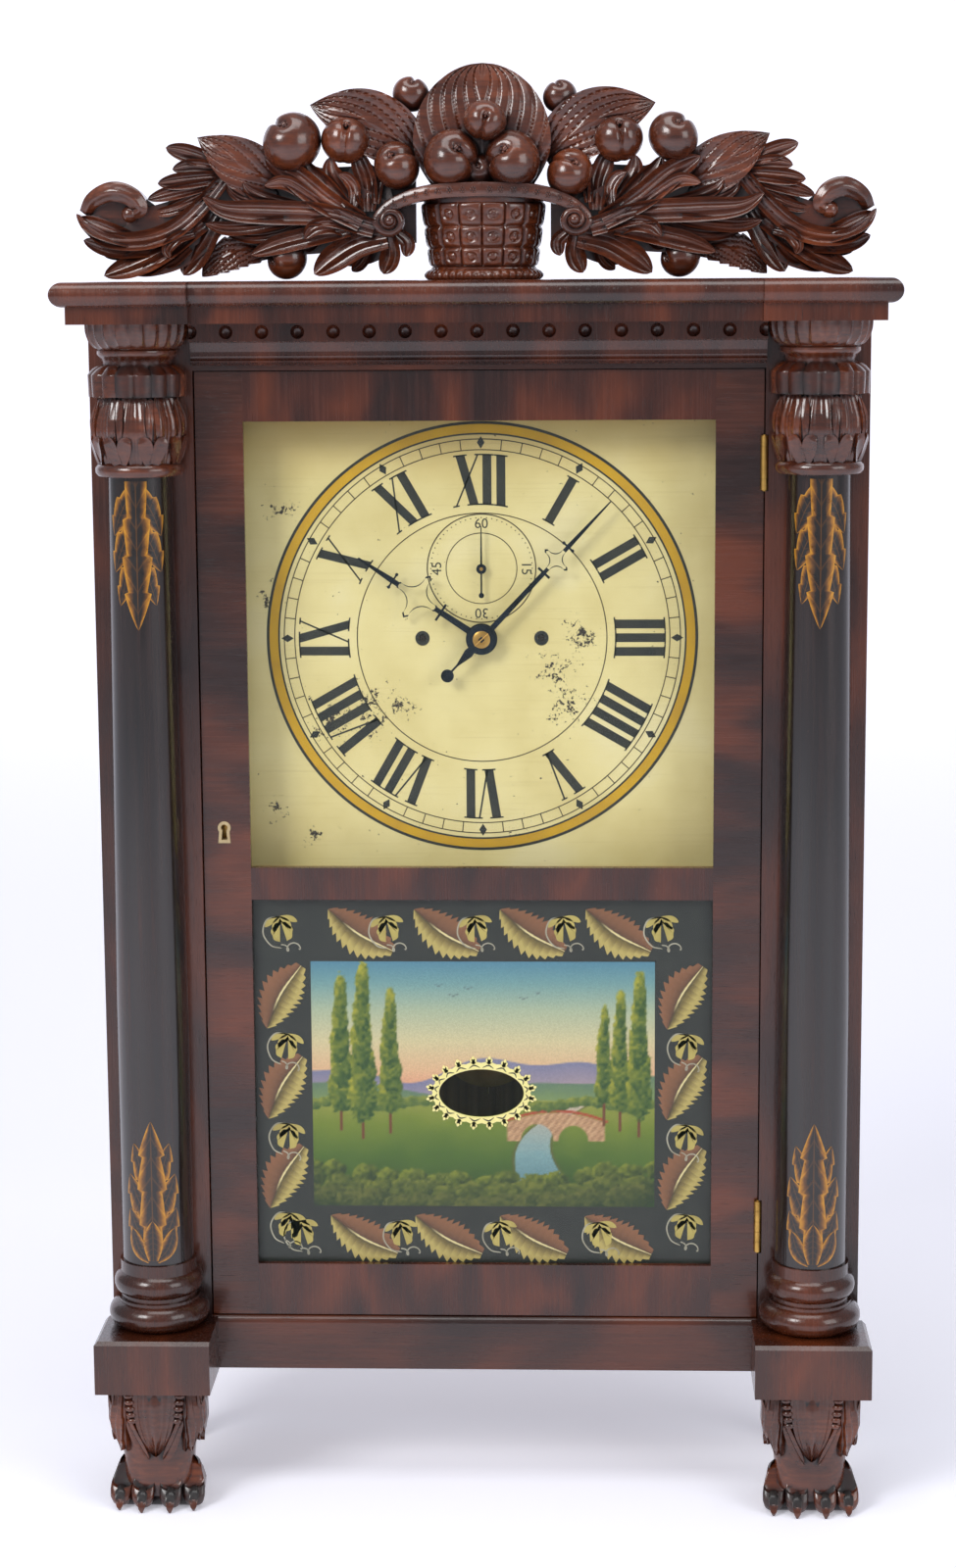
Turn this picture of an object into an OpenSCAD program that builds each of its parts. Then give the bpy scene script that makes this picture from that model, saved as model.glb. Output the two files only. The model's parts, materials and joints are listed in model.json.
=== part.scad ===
// Carved-column shelf clock with paw feet, a two-panel door and a fruit-basket crest.
// Millimetres. X runs to the viewer's right, the front faces -Y, and the feet stand on Z = 0.

/* [Case] */
// Width over the case sides
case_w = 515; // [490:1:540]
// Depth from the face of the stiles to the back of the case
case_d = 116; // [110:1:130]
// Height of the case from its underside to the cornice
case_h = 720.5; // [700:0.5:760]
// Thickness of the case sides
side_t = 14; // [10:0.5:16]
// Thickness of the face stiles and rails
face_t = 20; // [18:0.5:22]
// Thickness of the top and bottom boards
board_t = 12; // [9:0.5:15]
// Thickness of the backboard
back_t = 10; // [7:0.5:11]
// Width of each face stile
stile_w = 68.5; // [64:0.5:76]
// Height of the rail above the door
frieze_h = 31.4; // [29:0.2:40]

/* [Plinths and feet] */
// Width of the block under each column
plinth_w = 78.6; // [74:0.2:84]
// Height of the plinth blocks and of the rail between them
plinth_h = 37.3; // [30:0.1:50]
// How far the plinth blocks stand in front of the stiles
plinth_proj = 55; // [50:0.5:62]
// How far the plinth blocks stand out past the case sides
plinth_over = 5.7; // [3:0.1:8]
// Height of the feet
foot_h = 85.5; // [75:0.5:95]
// Width of a paw across its toes
foot_w = 70; // [62:0.5:74]
// Side of the plain rear feet
rear_foot_w = 34; // [26:1:40]

/* [Columns] */
// Distance of the column axis in front of the stiles
column_set = 10; // [6:0.5:14]
// Radius of the shaft at its foot
shaft_r_low = 24.3; // [22:0.1:26]
// Radius of the shaft under the capital
shaft_r_top = 21; // [18:0.1:22]
// Height of the turned base
base_h = 47; // [40:0.5:56]
// Radius of the lower ring of the base
base_r = 34.5; // [30:0.1:35]
// Height of the capital
capital_h = 100; // [92:0.5:110]
// Radius of the bowl at the top of the capital
bowl_r = 34; // [31:0.1:37]
// Radius of the leaf collar of the capital
collar_r = 31.8; // [30:0.1:33]

/* [Cornice and crest] */
// Height of the flat fillet of the cornice
fillet_h = 11; // [8:0.5:14]
// Height of the rounded nosing of the cornice
nose_h = 16; // [12:0.5:20]
// How far the nosing stands out past the fillet
nose_over = 9; // [7:0.5:11]
// How far the middle of the cornice is set back from its corners
cornice_break = 10; // [7:0.5:14]
// How far each end of the carved crest stops short of the cornice's end
crest_inset = 8.2; // [4:0.2:22]
// Height of the carved crest above the cornice
crest_h = 138.6; // [125:0.2:150]
// Thickness of the crest's board behind the carving
crest_board_t = 14; // [12:0.5:18]

/* [Door] */
// Thickness of the door frame
door_t = 20; // [18:0.5:21]
// How far the door lies behind the stiles
door_set = 4; // [3:0.25:5]
// Gap round the door
door_gap = 0.7; // [0.6:0.05:1.2]
// Width of the door stiles
door_stile_w = 31.7; // [28:0.1:36]
// Height of the top rail of the door
top_rail_h = 33; // [28:0.2:40]
// Height of the rail between the two panes
middle_rail_h = 22.2; // [18:0.2:30]
// Height of the bottom rail of the door
bottom_rail_h = 36.4; // [30:0.2:44]
// Clear height of the lower pane
tablet_h = 257.5; // [240:0.5:275]
// Depth of the rabbet that holds the panes, measured into the frame
rabbet_w = 6; // [5:0.5:8]
// Thickness of the wooden lip in front of the panes
lip_t = 5; // [4:0.5:6]
// Thickness of the glass
glass_t = 2; // [1.5:0.1:2.5]
// Side of the beads behind the glass
bead_w = 5; // [4:0.5:6]
// Length of the tenons of the rails
tenon_l = 20; // [14:0.5:24]
// Length of a hinge
hinge_l = 36; // [28:1:44]
// Radius of the hinge pins
hinge_pin_r = 1.3; // [1.1:0.05:1.5]
// Height of the keyhole above the middle rail's lower edge
keyhole_rise = 46.6; // [42:0.2:60]
// Travel of the lock bolt
bolt_travel = 6; // [4:0.5:8]

/* [Dial and hands] */
// Distance of the dial's face behind the stiles
dial_set = 40; // [39:0.5:43]
// Thickness of the dial board
dial_t = 7; // [6:0.5:8]
// How far the dial board laps behind the door stiles on each side
dial_lap = 15.4; // [10:0.2:17]
// Height of the dial's centre above the middle of the upper pane
dial_rise = 1.8; // [0:0.2:4]
// Radius of the winding holes
winding_hole_r = 4.8; // [4.5:0.1:5.5]
// Length of the minute hand from the centre
minute_l = 128; // [115:1:134]
// Length of the hour hand from the centre
hour_l = 100; // [88:1:106]
// Length of the seconds hand from its own centre
second_l = 29; // [24:0.5:32]
// Minutes past ten that the hands show
minutes_shown = 7.2; // [0:0.1:14]

/* [Movement] */
// Width of the movement plates
plate_w = 124; // [120:1:134]
// Height of the movement plates
plate_h = 172; // [168:1:178]
// Thickness of the movement plates
plate_t = 2.5; // [2:0.1:3]
// Gap between the movement plates
plate_gap = 30; // [29.5:0.1:30.5]
// Distance of the front plate behind the dial
motion_gap = 10; // [9.5:0.1:10.5]
// Distance of each winding arbor from the centre of the dial
winding_x = 40.5; // [40.3:0.1:41]
// Height of the seconds arbor above the centre of the dial
seconds_rise = 47.5; // [47:0.1:48]
// Radius of the cord drums
drum_r = 16; // [14:0.1:16.5]
// Teeth of the great wheels
great_teeth = 72; // [72:6:84]
// Leaves of the centre pinion
centre_leaves = 6; // [6:1:7]

/* [Weights and pendulum] */
// Radius of the weights
weight_r = 25; // [20:0.5:26]
// Height of the weights
weight_h = 200; // [170:1:230]
// Height of the weights' undersides above the floor of the case
weight_rise = 205; // [160:1:230]
// Radius of the pulleys in their grooves
pulley_r = 16; // [14:0.5:17]
// Radius of the weight cords
cord_r = 1.1; // [0.9:0.05:1.3]
// Distance of the bob's centre below the pendulum's bending point
pendulum_l = 393; // [380:1:400]
// Radius of the pendulum bob
bob_r = 35; // [30:0.5:38]
// Thickness of the pendulum bob
bob_t = 9; // [7:0.5:9]

/* [Hidden] */

// Clearances
joint_fit = 0.1;
running_fit = 0.05;
seat_gap = 0.2;
wheel_gap = 1.4;

// Depths, from the front to the back
depth = case_d + plinth_proj + nose_over;
back_y = depth / 2;
face_y = back_y - case_d;
plinth_y = face_y - plinth_proj;
column_y = face_y - column_set;
door_y = face_y + door_set;
door_back_y = door_y + door_t;
pane_y = door_y + lip_t;
dial_y = face_y + dial_set;
dial_back_y = dial_y + dial_t;
plate_y = dial_back_y + motion_gap;
train_y = plate_y + plate_t;
rear_plate_y = train_y + plate_gap;
rear_y = rear_plate_y + plate_t;
backboard_y = back_y - back_t;
stile_back_y = face_y + face_t;

// Heights, from the floor up
rail_z = foot_h + plinth_h;
case_top_z = foot_h + case_h;
cornice_top_z = case_top_z + fillet_h + nose_h;
frieze_z = case_top_z - frieze_h;
door_z = rail_z + door_gap;
door_top_z = frieze_z - door_gap;
tablet_z = door_z + bottom_rail_h;
middle_rail_z = tablet_z + tablet_h;
pane_z = middle_rail_z + middle_rail_h;
pane_top_z = door_top_z - top_rail_h;
keyhole_z = middle_rail_z + keyhole_rise;
dial_z = (pane_z + pane_top_z) / 2 + dial_rise;
seat_top_z = dial_z - 52;
seconds_z = dial_z + seconds_rise;
capital_z = case_top_z - capital_h;
shaft_z = rail_z + base_h;

// Widths, from the middle out
case_x = case_w / 2;
opening_w = case_w - 2 * stile_w;
opening_x = opening_w / 2;
door_x = opening_x - door_gap;
pane_x = door_x - door_stile_w;
dial_w = 2 * (pane_x + dial_lap);
plinth_x = case_x + plinth_over;
column_x = plinth_x - plinth_w / 2;
inner_x = case_x - side_t;
corner_inner_x = plinth_x - plinth_w - 0.3;
crest_w = 2 * (plinth_x + nose_over - crest_inset);
support_x = dial_w / 2 - 10;
support_t = 8;

// Arbors
arbor_r = 1.2;
centre_arbor_r = 1.6;
great_module = 2 * winding_x / (great_teeth + centre_leaves);
centre_teeth = 56;
third_leaves = 7;
third_teeth = 45;
escape_leaves = 6;
centre_module = 0.914;
third_module = 0.933;
centre_reach = centre_module * (centre_teeth + third_leaves) / 2;
third_reach = third_module * (third_teeth + escape_leaves) / 2;
third_up = (pow(centre_reach, 2) - pow(third_reach, 2) + pow(seconds_rise, 2)) / (2 * seconds_rise);
third_x = -sqrt(pow(centre_reach, 2) - pow(third_up, 2));
third_z = dial_z + third_up;
motion_reach = 21.6;
cannon_teeth = 12;
motion_teeth = 36;
motion_leaves = 10;
hour_teeth = 40;
escape_teeth = 48;
escape_r = 20;
verge_rise = 29;
verge_z = seconds_z + verge_rise;
pivot_z = dial_z + 98;
fork_z = dial_z + 20;
post_r = 3;
roll_r = 0.9;
pendulum_y = rear_y + 8;
bell_x = -(plate_w / 2 + support_x - support_t) / 2;
bell_z = dial_z + 76;
bell_r = 30;
hammer_x = -30;
hammer_z = dial_z + 98;
hammer_y = rear_plate_y - 6;

// Weights, cords and pulleys
cord_y = train_y + 18.5;
weight_x = (support_x + inner_x) / 2 + 1.2;
weight_z = rail_z + weight_rise;
cord_gap = 0.2;
pulley_x = weight_x - pulley_r - cord_gap - cord_r;
pulley_z = case_top_z + 6;
pulley_axle_r = 2;
sheave_r = pulley_r + 3;
eye_r = 4.5;
eye_wire_r = 1.2;

// Round edges
fine = 48;

module block(x0, x1, y0, y1, z0, z1) {
    translate([x0, y0, z0]) cube([x1 - x0, y1 - y0, z1 - z0]);
}

module both_sides() {
    children();
    mirror([1, 0, 0]) children();
}

// A cylinder along Y from y0 to y1
module rod_y(x, z, y0, y1, r) {
    translate([x, y1, z]) rotate([90, 0, 0]) cylinder(r = r, h = y1 - y0, $fn = fine);
}

// An upright profile of the X-Z plane, drawn as X-Y, from y0 to y1
module slab(y0, y1) {
    translate([0, y1, 0]) rotate([90, 0, 0]) linear_extrude(y1 - y0) children();
}

// A closed solid through a list of rings with the same number of points
module skin(rings) {
    rows = len(rings);
    m = len(rings[0]);
    polyhedron(
        points = [for (r = rings) each r],
        faces = [
            for (j = [1:m - 2]) [0, j + 1, j],
            for (j = [1:m - 2]) [(rows - 1) * m, (rows - 1) * m + j, (rows - 1) * m + j + 1],
            for (i = [0:rows - 2], j = [0:m - 1])
                [i * m + j, (i + 1) * m + (j + 1) % m, (i + 1) * m + j],
            for (i = [0:rows - 2], j = [0:m - 1])
                [i * m + j, i * m + (j + 1) % m, (i + 1) * m + (j + 1) % m]
        ]
    );
}

// Carcase

module case_side(s) {
    color("saddlebrown")
        mirror([s < 0 ? 1 : 0, 0, 0])
        difference() {
            block(inner_x, case_x, stile_back_y, back_y, foot_h, case_top_z);
            block(inner_x - 1, inner_x + back_t / 2, backboard_y, back_y + 1,
                foot_h - 1, case_top_z + 1);
        }
}

module case_side_left() { case_side(-1); }

module case_side_right() { case_side(1); }

module case_bottom() {
    color("peru") block(-inner_x, inner_x, stile_back_y, backboard_y, rail_z - board_t, rail_z);
}

// The top board has a slot for each cord, and blocks that carry the pulleys
module case_top() {
    slot_x0 = pulley_x - sheave_r - 22;
    slot_x1 = weight_x + cord_r + 4;
    color("peru")
        difference() {
            union() {
                block(-inner_x, inner_x, stile_back_y, backboard_y, case_top_z - board_t, case_top_z);
                both_sides()
                    block(pulley_x - 9, pulley_x + 9, cord_y - 14, cord_y + 14,
                        case_top_z - 1, pulley_z + 8);
            }
            both_sides() {
                block(slot_x0, slot_x1, cord_y - 5, cord_y + 5, case_top_z - board_t - 1, case_top_z + 30);
                rod_y(pulley_x, pulley_z, cord_y - 15, cord_y + 15, pulley_axle_r + running_fit);
            }
        }
}

module backboard() {
    edge = inner_x + back_t / 2 - joint_fit;
    color("peru") block(-edge, edge, backboard_y, back_y, foot_h, case_top_z);
}

// Recesses for the hinge leaves in the edge of a stile, at x, cut towards dir
module leaf_recess(x, dir) {
    for (z = hinge_zs())
        translate([x, door_y - 1, z - hinge_l / 2 - joint_fit])
            mirror([dir < 0 ? 1 : 0, 0, 0])
            translate([-1, 0, 0])
            cube([1 + leaf_t, leaf_w + 1 + joint_fit, hinge_l + 2 * joint_fit]);
}

module front_stile(s) {
    color("saddlebrown")
        difference() {
            mirror([s < 0 ? 1 : 0, 0, 0])
                block(opening_x, case_x, face_y, stile_back_y, foot_h, case_top_z);
            if (s > 0) {
                leaf_recess(opening_x, 1);
                hinge_relief();
                at_screws(opening_x, 1) screw_hole();
            } else {
                translate([-opening_x - bolt_travel - 2, bolt_y() - bolt_t / 2 - joint_fit * 2,
                        keyhole_z - bolt_h / 2 - joint_fit * 2])
                    cube([bolt_travel + 3, bolt_t + joint_fit * 4, bolt_h + joint_fit * 4]);
            }
        }
}

module front_stile_left() { front_stile(-1); }

module front_stile_right() { front_stile(1); }

// The rail under the door has a rounded upper arris, and the rail above it is flat
module face_rails() {
    arris = 5;
    color("saddlebrown") {
        difference() {
            block(-opening_x, opening_x, face_y, stile_back_y, foot_h, rail_z);
            difference() {
                block(-opening_x - 1, opening_x + 1, face_y - 1, face_y + arris,
                    rail_z - arris, rail_z + 1);
                translate([-opening_x - 2, face_y + arris, rail_z - arris])
                    rotate([0, 90, 0]) cylinder(r = arris, h = opening_w + 4, $fn = fine);
            }
        }
        block(-opening_x, opening_x, face_y, stile_back_y, frieze_z, case_top_z);
    }
}

// A gouged strip over a bed moulding, between the capitals
module frieze_moulding() {
    strip_h = 13;
    strip_proj = 15;
    bed_proj = 5;
    bed_z = case_top_z - 28;
    strip_z = case_top_z - strip_h;
    length = 2 * (column_x - bowl_r) - 1;
    pitch = 23.5;
    flutes = floor(length / 2 / pitch) * 2;
    color("saddlebrown")
        difference() {
            translate([-length / 2, 0, 0])
                rotate([90, 0, 90])
                linear_extrude(length)
                difference() {
                    polygon([
                        [face_y, bed_z], [face_y - bed_proj, bed_z + 2],
                        [face_y - bed_proj, strip_z - 6], [face_y - bed_proj - 3, strip_z],
                        [face_y - strip_proj, strip_z + 1], [face_y - strip_proj, case_top_z],
                        [face_y, case_top_z]
                    ]);
                    translate([face_y - bed_proj - 1, bed_z + 5]) circle(r = 2, $fn = fine);
                }
            for (i = [-flutes / 2:flutes / 2])
                translate([i * pitch, face_y - strip_proj, strip_z + 7])
                    sphere(r = 4.5, $fn = fine);
        }
}

// Cornice: a fillet under a rounded nosing, as a profile of Y outwards and Z
module cornice_profile(reach) {
    polygon([
        [0, 0], [reach, 0], [reach, fillet_h], [reach + nose_over - nose_h / 2, fillet_h],
        [reach + nose_over - nose_h / 2, fillet_h + nose_h], [0, fillet_h + nose_h]
    ]);
    translate([reach + nose_over - nose_h / 2, fillet_h + nose_h / 2])
        circle(r = nose_h / 2, $fn = fine);
}

cornice_board = 44;

module cornice_front() {
    span = 2 * (corner_inner_x - joint_fit);
    reach = plinth_proj - cornice_break + cornice_board - column_set;
    color("saddlebrown")
        difference() {
            translate([span / 2, face_y + cornice_board - column_set, case_top_z])
                rotate([90, 0, -90])
                linear_extrude(span)
                cornice_profile(reach);
            crest_mortise();
        }
}

// A corner of the cornice breaks forward over its capital and returns along the side
module cornice_corner(s) {
    reach_x = plinth_x - corner_inner_x;
    reach_y = plinth_proj + cornice_board - column_set;
    return_w = plinth_x - inner_x + 6;
    y0 = face_y + cornice_board - column_set;
    color("saddlebrown")
        mirror([s < 0 ? 1 : 0, 0, 0])
        union() {
            intersection() {
                translate([plinth_x + nose_over, y0, case_top_z])
                    rotate([90, 0, -90])
                    linear_extrude(reach_x + nose_over)
                    cornice_profile(reach_y);
                corner_side(corner_inner_x, y0 - reach_y - nose_over, y0);
            }
            corner_side(plinth_x - return_w, y0, back_y);
        }
}

// The side face of a corner, from x0 out to the nosing, between y0 and y1
module corner_side(x0, y0, y1) {
    translate([x0, y1, case_top_z])
        rotate([90, 0, 0])
        linear_extrude(y1 - y0)
        cornice_profile(plinth_x - x0);
}

module cornice_corner_left() { cornice_corner(-1); }

module cornice_corner_right() { cornice_corner(1); }

// Columns

// The half plane in front of the stiles, where the columns' flat backs lie
module front_of_stiles() {
    intersection() {
        children();
        block(-case_x - 60, case_x + 60, face_y - 80, face_y, 0, case_top_z + 10);
    }
}

module column(s) {
    color([0.12, 0.08, 0.06])
        front_of_stiles()
        translate([s * column_x, column_y, shaft_z])
        rotate_extrude($fn = fine)
        polygon([
            [0, 0], [shaft_r_low, 0],
            [shaft_r_low, (capital_z - shaft_z) / 3],
            [shaft_r_top, capital_z - shaft_z], [0, capital_z - shaft_z]
        ]);
}

module column_left() { column(-1); }

module column_right() { column(1); }

// A ring of round section about Z
module torus(x, z, r) {
    translate([0, 0, z]) rotate_extrude($fn = fine) translate([x, 0]) circle(r = r, $fn = fine);
}

// A turned base of two rings with a hollow between them
module column_bases() {
    low_ring = base_h * 0.2;
    top_ring = base_h * 0.19;
    top_r = base_r - 4;
    top_z = base_h - 7 - top_ring;
    color("saddlebrown")
        for (s = [-1, 1])
            front_of_stiles()
            translate([s * column_x, column_y, rail_z]) {
                torus(base_r - low_ring, low_ring, low_ring);
                cylinder(r = base_r - low_ring, h = 2 * low_ring, $fn = fine);
                cylinder(r = base_r - 8.5, h = base_h, $fn = fine);
                torus(top_r - top_ring, top_z, top_ring);
                translate([0, 0, 2 * low_ring - 1]) cylinder(r = base_r - 6.5, h = 2.5, $fn = fine);
            }
}

// A point on the smooth curve through a path of points, at a share of its length from 0 to 1
function along(path, share) =
    let (
        last = len(path) - 1,
        t = max(0, min(last - 0.0001, share * last)),
        i = floor(t),
        f = t - i,
        p1 = path[i],
        p2 = path[i + 1],
        p0 = i > 0 ? path[i - 1] : 2 * p1 - p2,
        p3 = i + 2 <= last ? path[i + 2] : 2 * p2 - p1
    )
    0.5 * (2 * p1 + (p2 - p0) * f + (2 * p0 - 5 * p1 + 4 * p2 - p3) * f * f
        + (3 * p1 - p0 - 3 * p2 + p3) * f * f * f);

// Share of its width that a carved leaf has: it swells to 0.6 of its length, then rounds off
function petal_share(u, blunt) = u < 0.6 ? 0.74 + 0.26 * sin(150 * u)
    : max(0.05, pow(1 - pow((u - 0.6) / 0.4, 2), blunt));

// A carved leaf in the X-Z plane that faces -Y. Its midrib runs through path from root to tip, and it
// stands rise[0], rise[1] and rise[2] before y = 0 at root, middle and tip; its back slopes from y = -back
module petal(path, w, rise, back = 1, blunt = 0.62, stations = [0, 0.35, 0.68, 0.92, 1], cup = 0.16) {
    skin([
        for (u = stations)
            let (
                c = along(path, u),
                d = along(path, min(1, u + 0.02)) - along(path, max(0, u - 0.02)),
                n = [-d[1], d[0]] / norm(d),
                h = w / 2 * petal_share(u, blunt),
                y = -rise[0] * (1 - u) * (1 - 2 * u) - 4 * rise[1] * u * (1 - u) - rise[2] * u * (2 * u - 1),
                back_y = -back * (1 + 0.6 * u)
            )
            [
                for (p = [[0, y + cup * h], [1, y - cup * h], [0.8, back_y], [-0.8, back_y], [-1, y - cup * h]])
                    [c[0] + n[0] * h * p[0], p[1], c[1] + n[1] * h * p[0]]
            ]
    ]);
}

// Capital: an astragal, a leaf bulb, a collar of curled leaves, a neck and a fluted bowl
astragal_h = 10;
bulb_h = 42;
collar_h = 19;

module capital_turning() {
    r_neck = collar_r - 9;
    bulb_r = collar_r - 5.5;
    rotate_extrude($fn = 28)
        union() {
            polygon([
                [0, 0], [shaft_r_top + 3, 0], [shaft_r_top + 5.5, 2], [shaft_r_top + 7, 5],
                [shaft_r_top + 5.5, 8], [shaft_r_top + 4, astragal_h],
                [bulb_r - 2, astragal_h + bulb_h * 0.3], [bulb_r - 1, astragal_h + bulb_h * 0.55],
                [bulb_r - 4, astragal_h + bulb_h], [r_neck, astragal_h + bulb_h + collar_h],
                [r_neck, capital_h - 20], [r_neck + 3.5, capital_h - 19],
                [r_neck + 3.5, capital_h - 16], [bowl_r - 7, capital_h - 15],
                [bowl_r - 2, capital_h - 7], [bowl_r, capital_h - 3], [bowl_r, capital_h], [0, capital_h]
            ]);
        }
}

// One upright leaf on the capital: r0 and r1 are its radii at foot and head
module capital_leaf(z, h, w, r0, r1) {
    hull() {
        translate([0, -r0 + 3, z]) scale([w / 2, 3, 2]) sphere(r = 1, $fn = 8);
        translate([0, -r1 + 3, z + h * 0.66]) scale([w / 2, 3.5, 3]) sphere(r = 1, $fn = 8);
        translate([0, -r1 + 2, z + h - 3]) scale([w / 4, 3, 3]) sphere(r = 1, $fn = 8);
    }
}

module capital(s) {
    bulb_leaves = 8;
    collar_leaves = 8;
    color([0.28, 0.16, 0.12])
        front_of_stiles()
        translate([s * column_x, column_y, capital_z])
        union() {
            capital_turning();
            for (i = [0:bulb_leaves - 1])
                rotate(i * 360 / bulb_leaves)
                capital_leaf(astragal_h - 1, bulb_h, 15, collar_r - 6, collar_r - 2.5);
            for (i = [0:collar_leaves - 1])
                rotate((i + 0.5) * 360 / collar_leaves)
                hull() {
                    translate([0, -collar_r + 3.5, astragal_h + bulb_h + 3])
                        scale([10, 3.5, 3]) sphere(r = 1, $fn = 8);
                    translate([0, -collar_r + 5.5, astragal_h + bulb_h + collar_h - 3])
                        scale([8, 4, 3]) sphere(r = 1, $fn = 8);
                }
        }
}

module capital_left() { capital(-1); }

module capital_right() { capital(1); }

module plinth_blocks() {
    bevel = 2.5;
    color("saddlebrown")
        both_sides()
        intersection() {
            slab(plinth_y, face_y)
                polygon([
                    [plinth_x - plinth_w, foot_h], [plinth_x, foot_h], [plinth_x, rail_z - bevel],
                    [plinth_x - bevel, rail_z], [plinth_x - plinth_w, rail_z]
                ]);
            translate([plinth_x - plinth_w, 0, 0])
                rotate([90, 0, 90])
                linear_extrude(plinth_w)
                polygon([
                    [plinth_y, foot_h], [face_y, foot_h], [face_y, rail_z], [plinth_y + bevel, rail_z],
                    [plinth_y, rail_z - bevel]
                ]);
        }
}

// Feet

toe_r = 9;
paw_h = 40;

// A toe runs forward and down from the instep and ends in a claw
module toe(x, spread) {
    front = -foot_w * 0.43;
    rotate(spread) {
        hull() {
            translate([x, front + toe_r + 1, toe_r]) scale([0.85, 1, 1]) sphere(r = toe_r, $fn = 10);
            translate([x, front + 2.2 * toe_r + 4, toe_r + 5]) sphere(r = toe_r, $fn = 8);
            translate([x * 0.6, 2, paw_h - 12]) sphere(r = toe_r * 0.9, $fn = 8);
        }
        hull() {
            translate([x, front + 4, toe_r + 2]) sphere(r = 4.2, $fn = 8);
            translate([x, front - 1, 2.6]) sphere(r = 1.8, $fn = 6);
        }
    }
}

module foot(s) {
    half = foot_w / 2;
    top = foot_h;
    color([0.25, 0.12, 0.08])
        translate([s * column_x, plinth_y + plinth_proj * 0.54, 0])
        intersection() {
            union() {
                hull() {
                    translate([0, 4, 10]) scale([half * 0.72, 17, 14]) sphere(r = 1, $fn = 10);
                    translate([0, 6, paw_h - 6]) scale([half * 0.62, 15, 14]) sphere(r = 1, $fn = 10);
                }
                hull() {
                    translate([0, 6, paw_h - 4]) scale([half * 0.6, 15, 8]) sphere(r = 1, $fn = 10);
                    translate([0, 4, top - 8]) scale([half * 0.8, 22, 12]) sphere(r = 1, $fn = 10);
                }
                for (k = [-1.5:1:1.5])
                    toe(k * foot_w * 0.225, 0);
                for (k = [-1:1])
                    translate([k * half * 0.56, abs(k) * 3, 0])
                        petal([[0, top - 1], [k, (top + paw_h) / 2], [k * 2, paw_h - 6 + abs(k) * 8]],
                            half * 0.75, [18, 23, 20], 2 + k);
                both_sides()
                    rotate([0, 0, 90])
                    petal([[0, top - 1], [0, (top + paw_h) / 2], [0, paw_h]], half, [half - 8, half - 3, half - 6], 3);
            }
            block(-half - 1, half + 1, -plinth_proj * 0.54 + 1, plinth_proj * 0.46 - 1, 0, top);
        }
}

module foot_left() { foot(-1); }

module foot_right() { foot(1); }

// Plain turned rear feet under the back corners of the case
module rear_feet() {
    r = rear_foot_w / 2;
    color("saddlebrown")
        both_sides()
        translate([inner_x - r, backboard_y - r, 0])
        rotate_extrude($fn = fine)
        polygon([
            [0, 0], [r * 0.62, 0], [r * 0.8, 5], [r * 0.8, 12], [r * 0.6, foot_h * 0.3],
            [r * 0.72, foot_h * 0.55], [r, foot_h * 0.75], [r, foot_h - 12], [r * 0.85, foot_h - 9],
            [r * 0.85, foot_h - 6], [r, foot_h - 5], [r, foot_h], [0, foot_h]
        ]);
}

// Crest

// The crest is drawn at its own size and stretched to crest_w and crest_h
drawn_w = 528;
drawn_h = 138.6;
tenon_w = 60;
tenon_d = 10;
tenon_t = 8;
crest_y = column_y + 8;

module crest_mortise() {
    block(-tenon_w / 2 - joint_fit, tenon_w / 2 + joint_fit, crest_y - joint_fit,
        crest_y + tenon_t + joint_fit, cornice_top_z - tenon_d - joint_fit, cornice_top_z + 1);
}

// A fruit half sunk in the board, with its blossom end as a small boss
module fruit(x, z, r, y = -6) {
    translate([x, y, z]) {
        sphere(r = r, $fn = 12);
        rotate([78, 0, 20]) translate([0, 0, r - 1.5]) cylinder(r1 = 3, r2 = 1.6, h = 3, $fn = 5);
    }
}

// Leaves of the left half of the crest, each with its width, its rise at root, middle and tip over the
// back of the board, and its midrib across and up from the middle of the cornice
spray_leaves = [
    [15, [32, 27, 25], [[-58, 27], [-77, 23], [-93, 14], [-106, 4]]],
    [11, [30, 26, 22], [[-57, 28], [-56, 16], [-61, 4]]],
    [8, [29, 27, 25], [[-52, 31], [-45, 24], [-46, 15]]],
    [11, [31, 27, 24], [[-82, 33], [-109, 28], [-130, 23], [-147, 17]]],
    [8, [27, 24, 22], [[-125, 38], [-145, 35], [-163, 34], [-177, 37]]],
    [7, [26, 22, 21], [[-116, 48], [-134, 52], [-146, 57], [-152, 63]]],
    [13, [33, 28, 25], [[-66, 33], [-98, 42], [-134, 44], [-163, 46], [-178, 54]]],
    [11, [29, 23, 22], [[-78, 44], [-87, 58], [-94, 69], [-95, 79]]],
    [11, [30, 24, 22], [[-85, 47], [-98, 60], [-108, 69], [-112, 78]]],
    [11, [28, 21, 22], [[-70, 44], [-71, 62], [-75, 74], [-79, 85]]],
    [14, [33, 28, 25], [[-74, 37], [-98, 51], [-118, 67], [-137, 78]]],
    [14, [20, 20, 17], [[-179, 38], [-206, 20], [-225, 11], [-245, 4]]],
    [15, [19, 18, 14], [[-170, 42], [-181, 23], [-193, 4]]],
    [9, [19, 20, 16], [[-214, 20], [-238, 21], [-258, 27]]],
    [11, [20, 22, 17], [[-223, 26], [-245, 34], [-261, 41]]],
    [8, [18, 20, 18], [[-171, 63], [-195, 58], [-215, 53]]],
    [9, [17, 20, 19], [[-168, 67], [-188, 65], [-208, 63]]],
    [10, [15, 18, 20], [[-165, 74], [-184, 81], [-202, 86]]]
];
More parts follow.
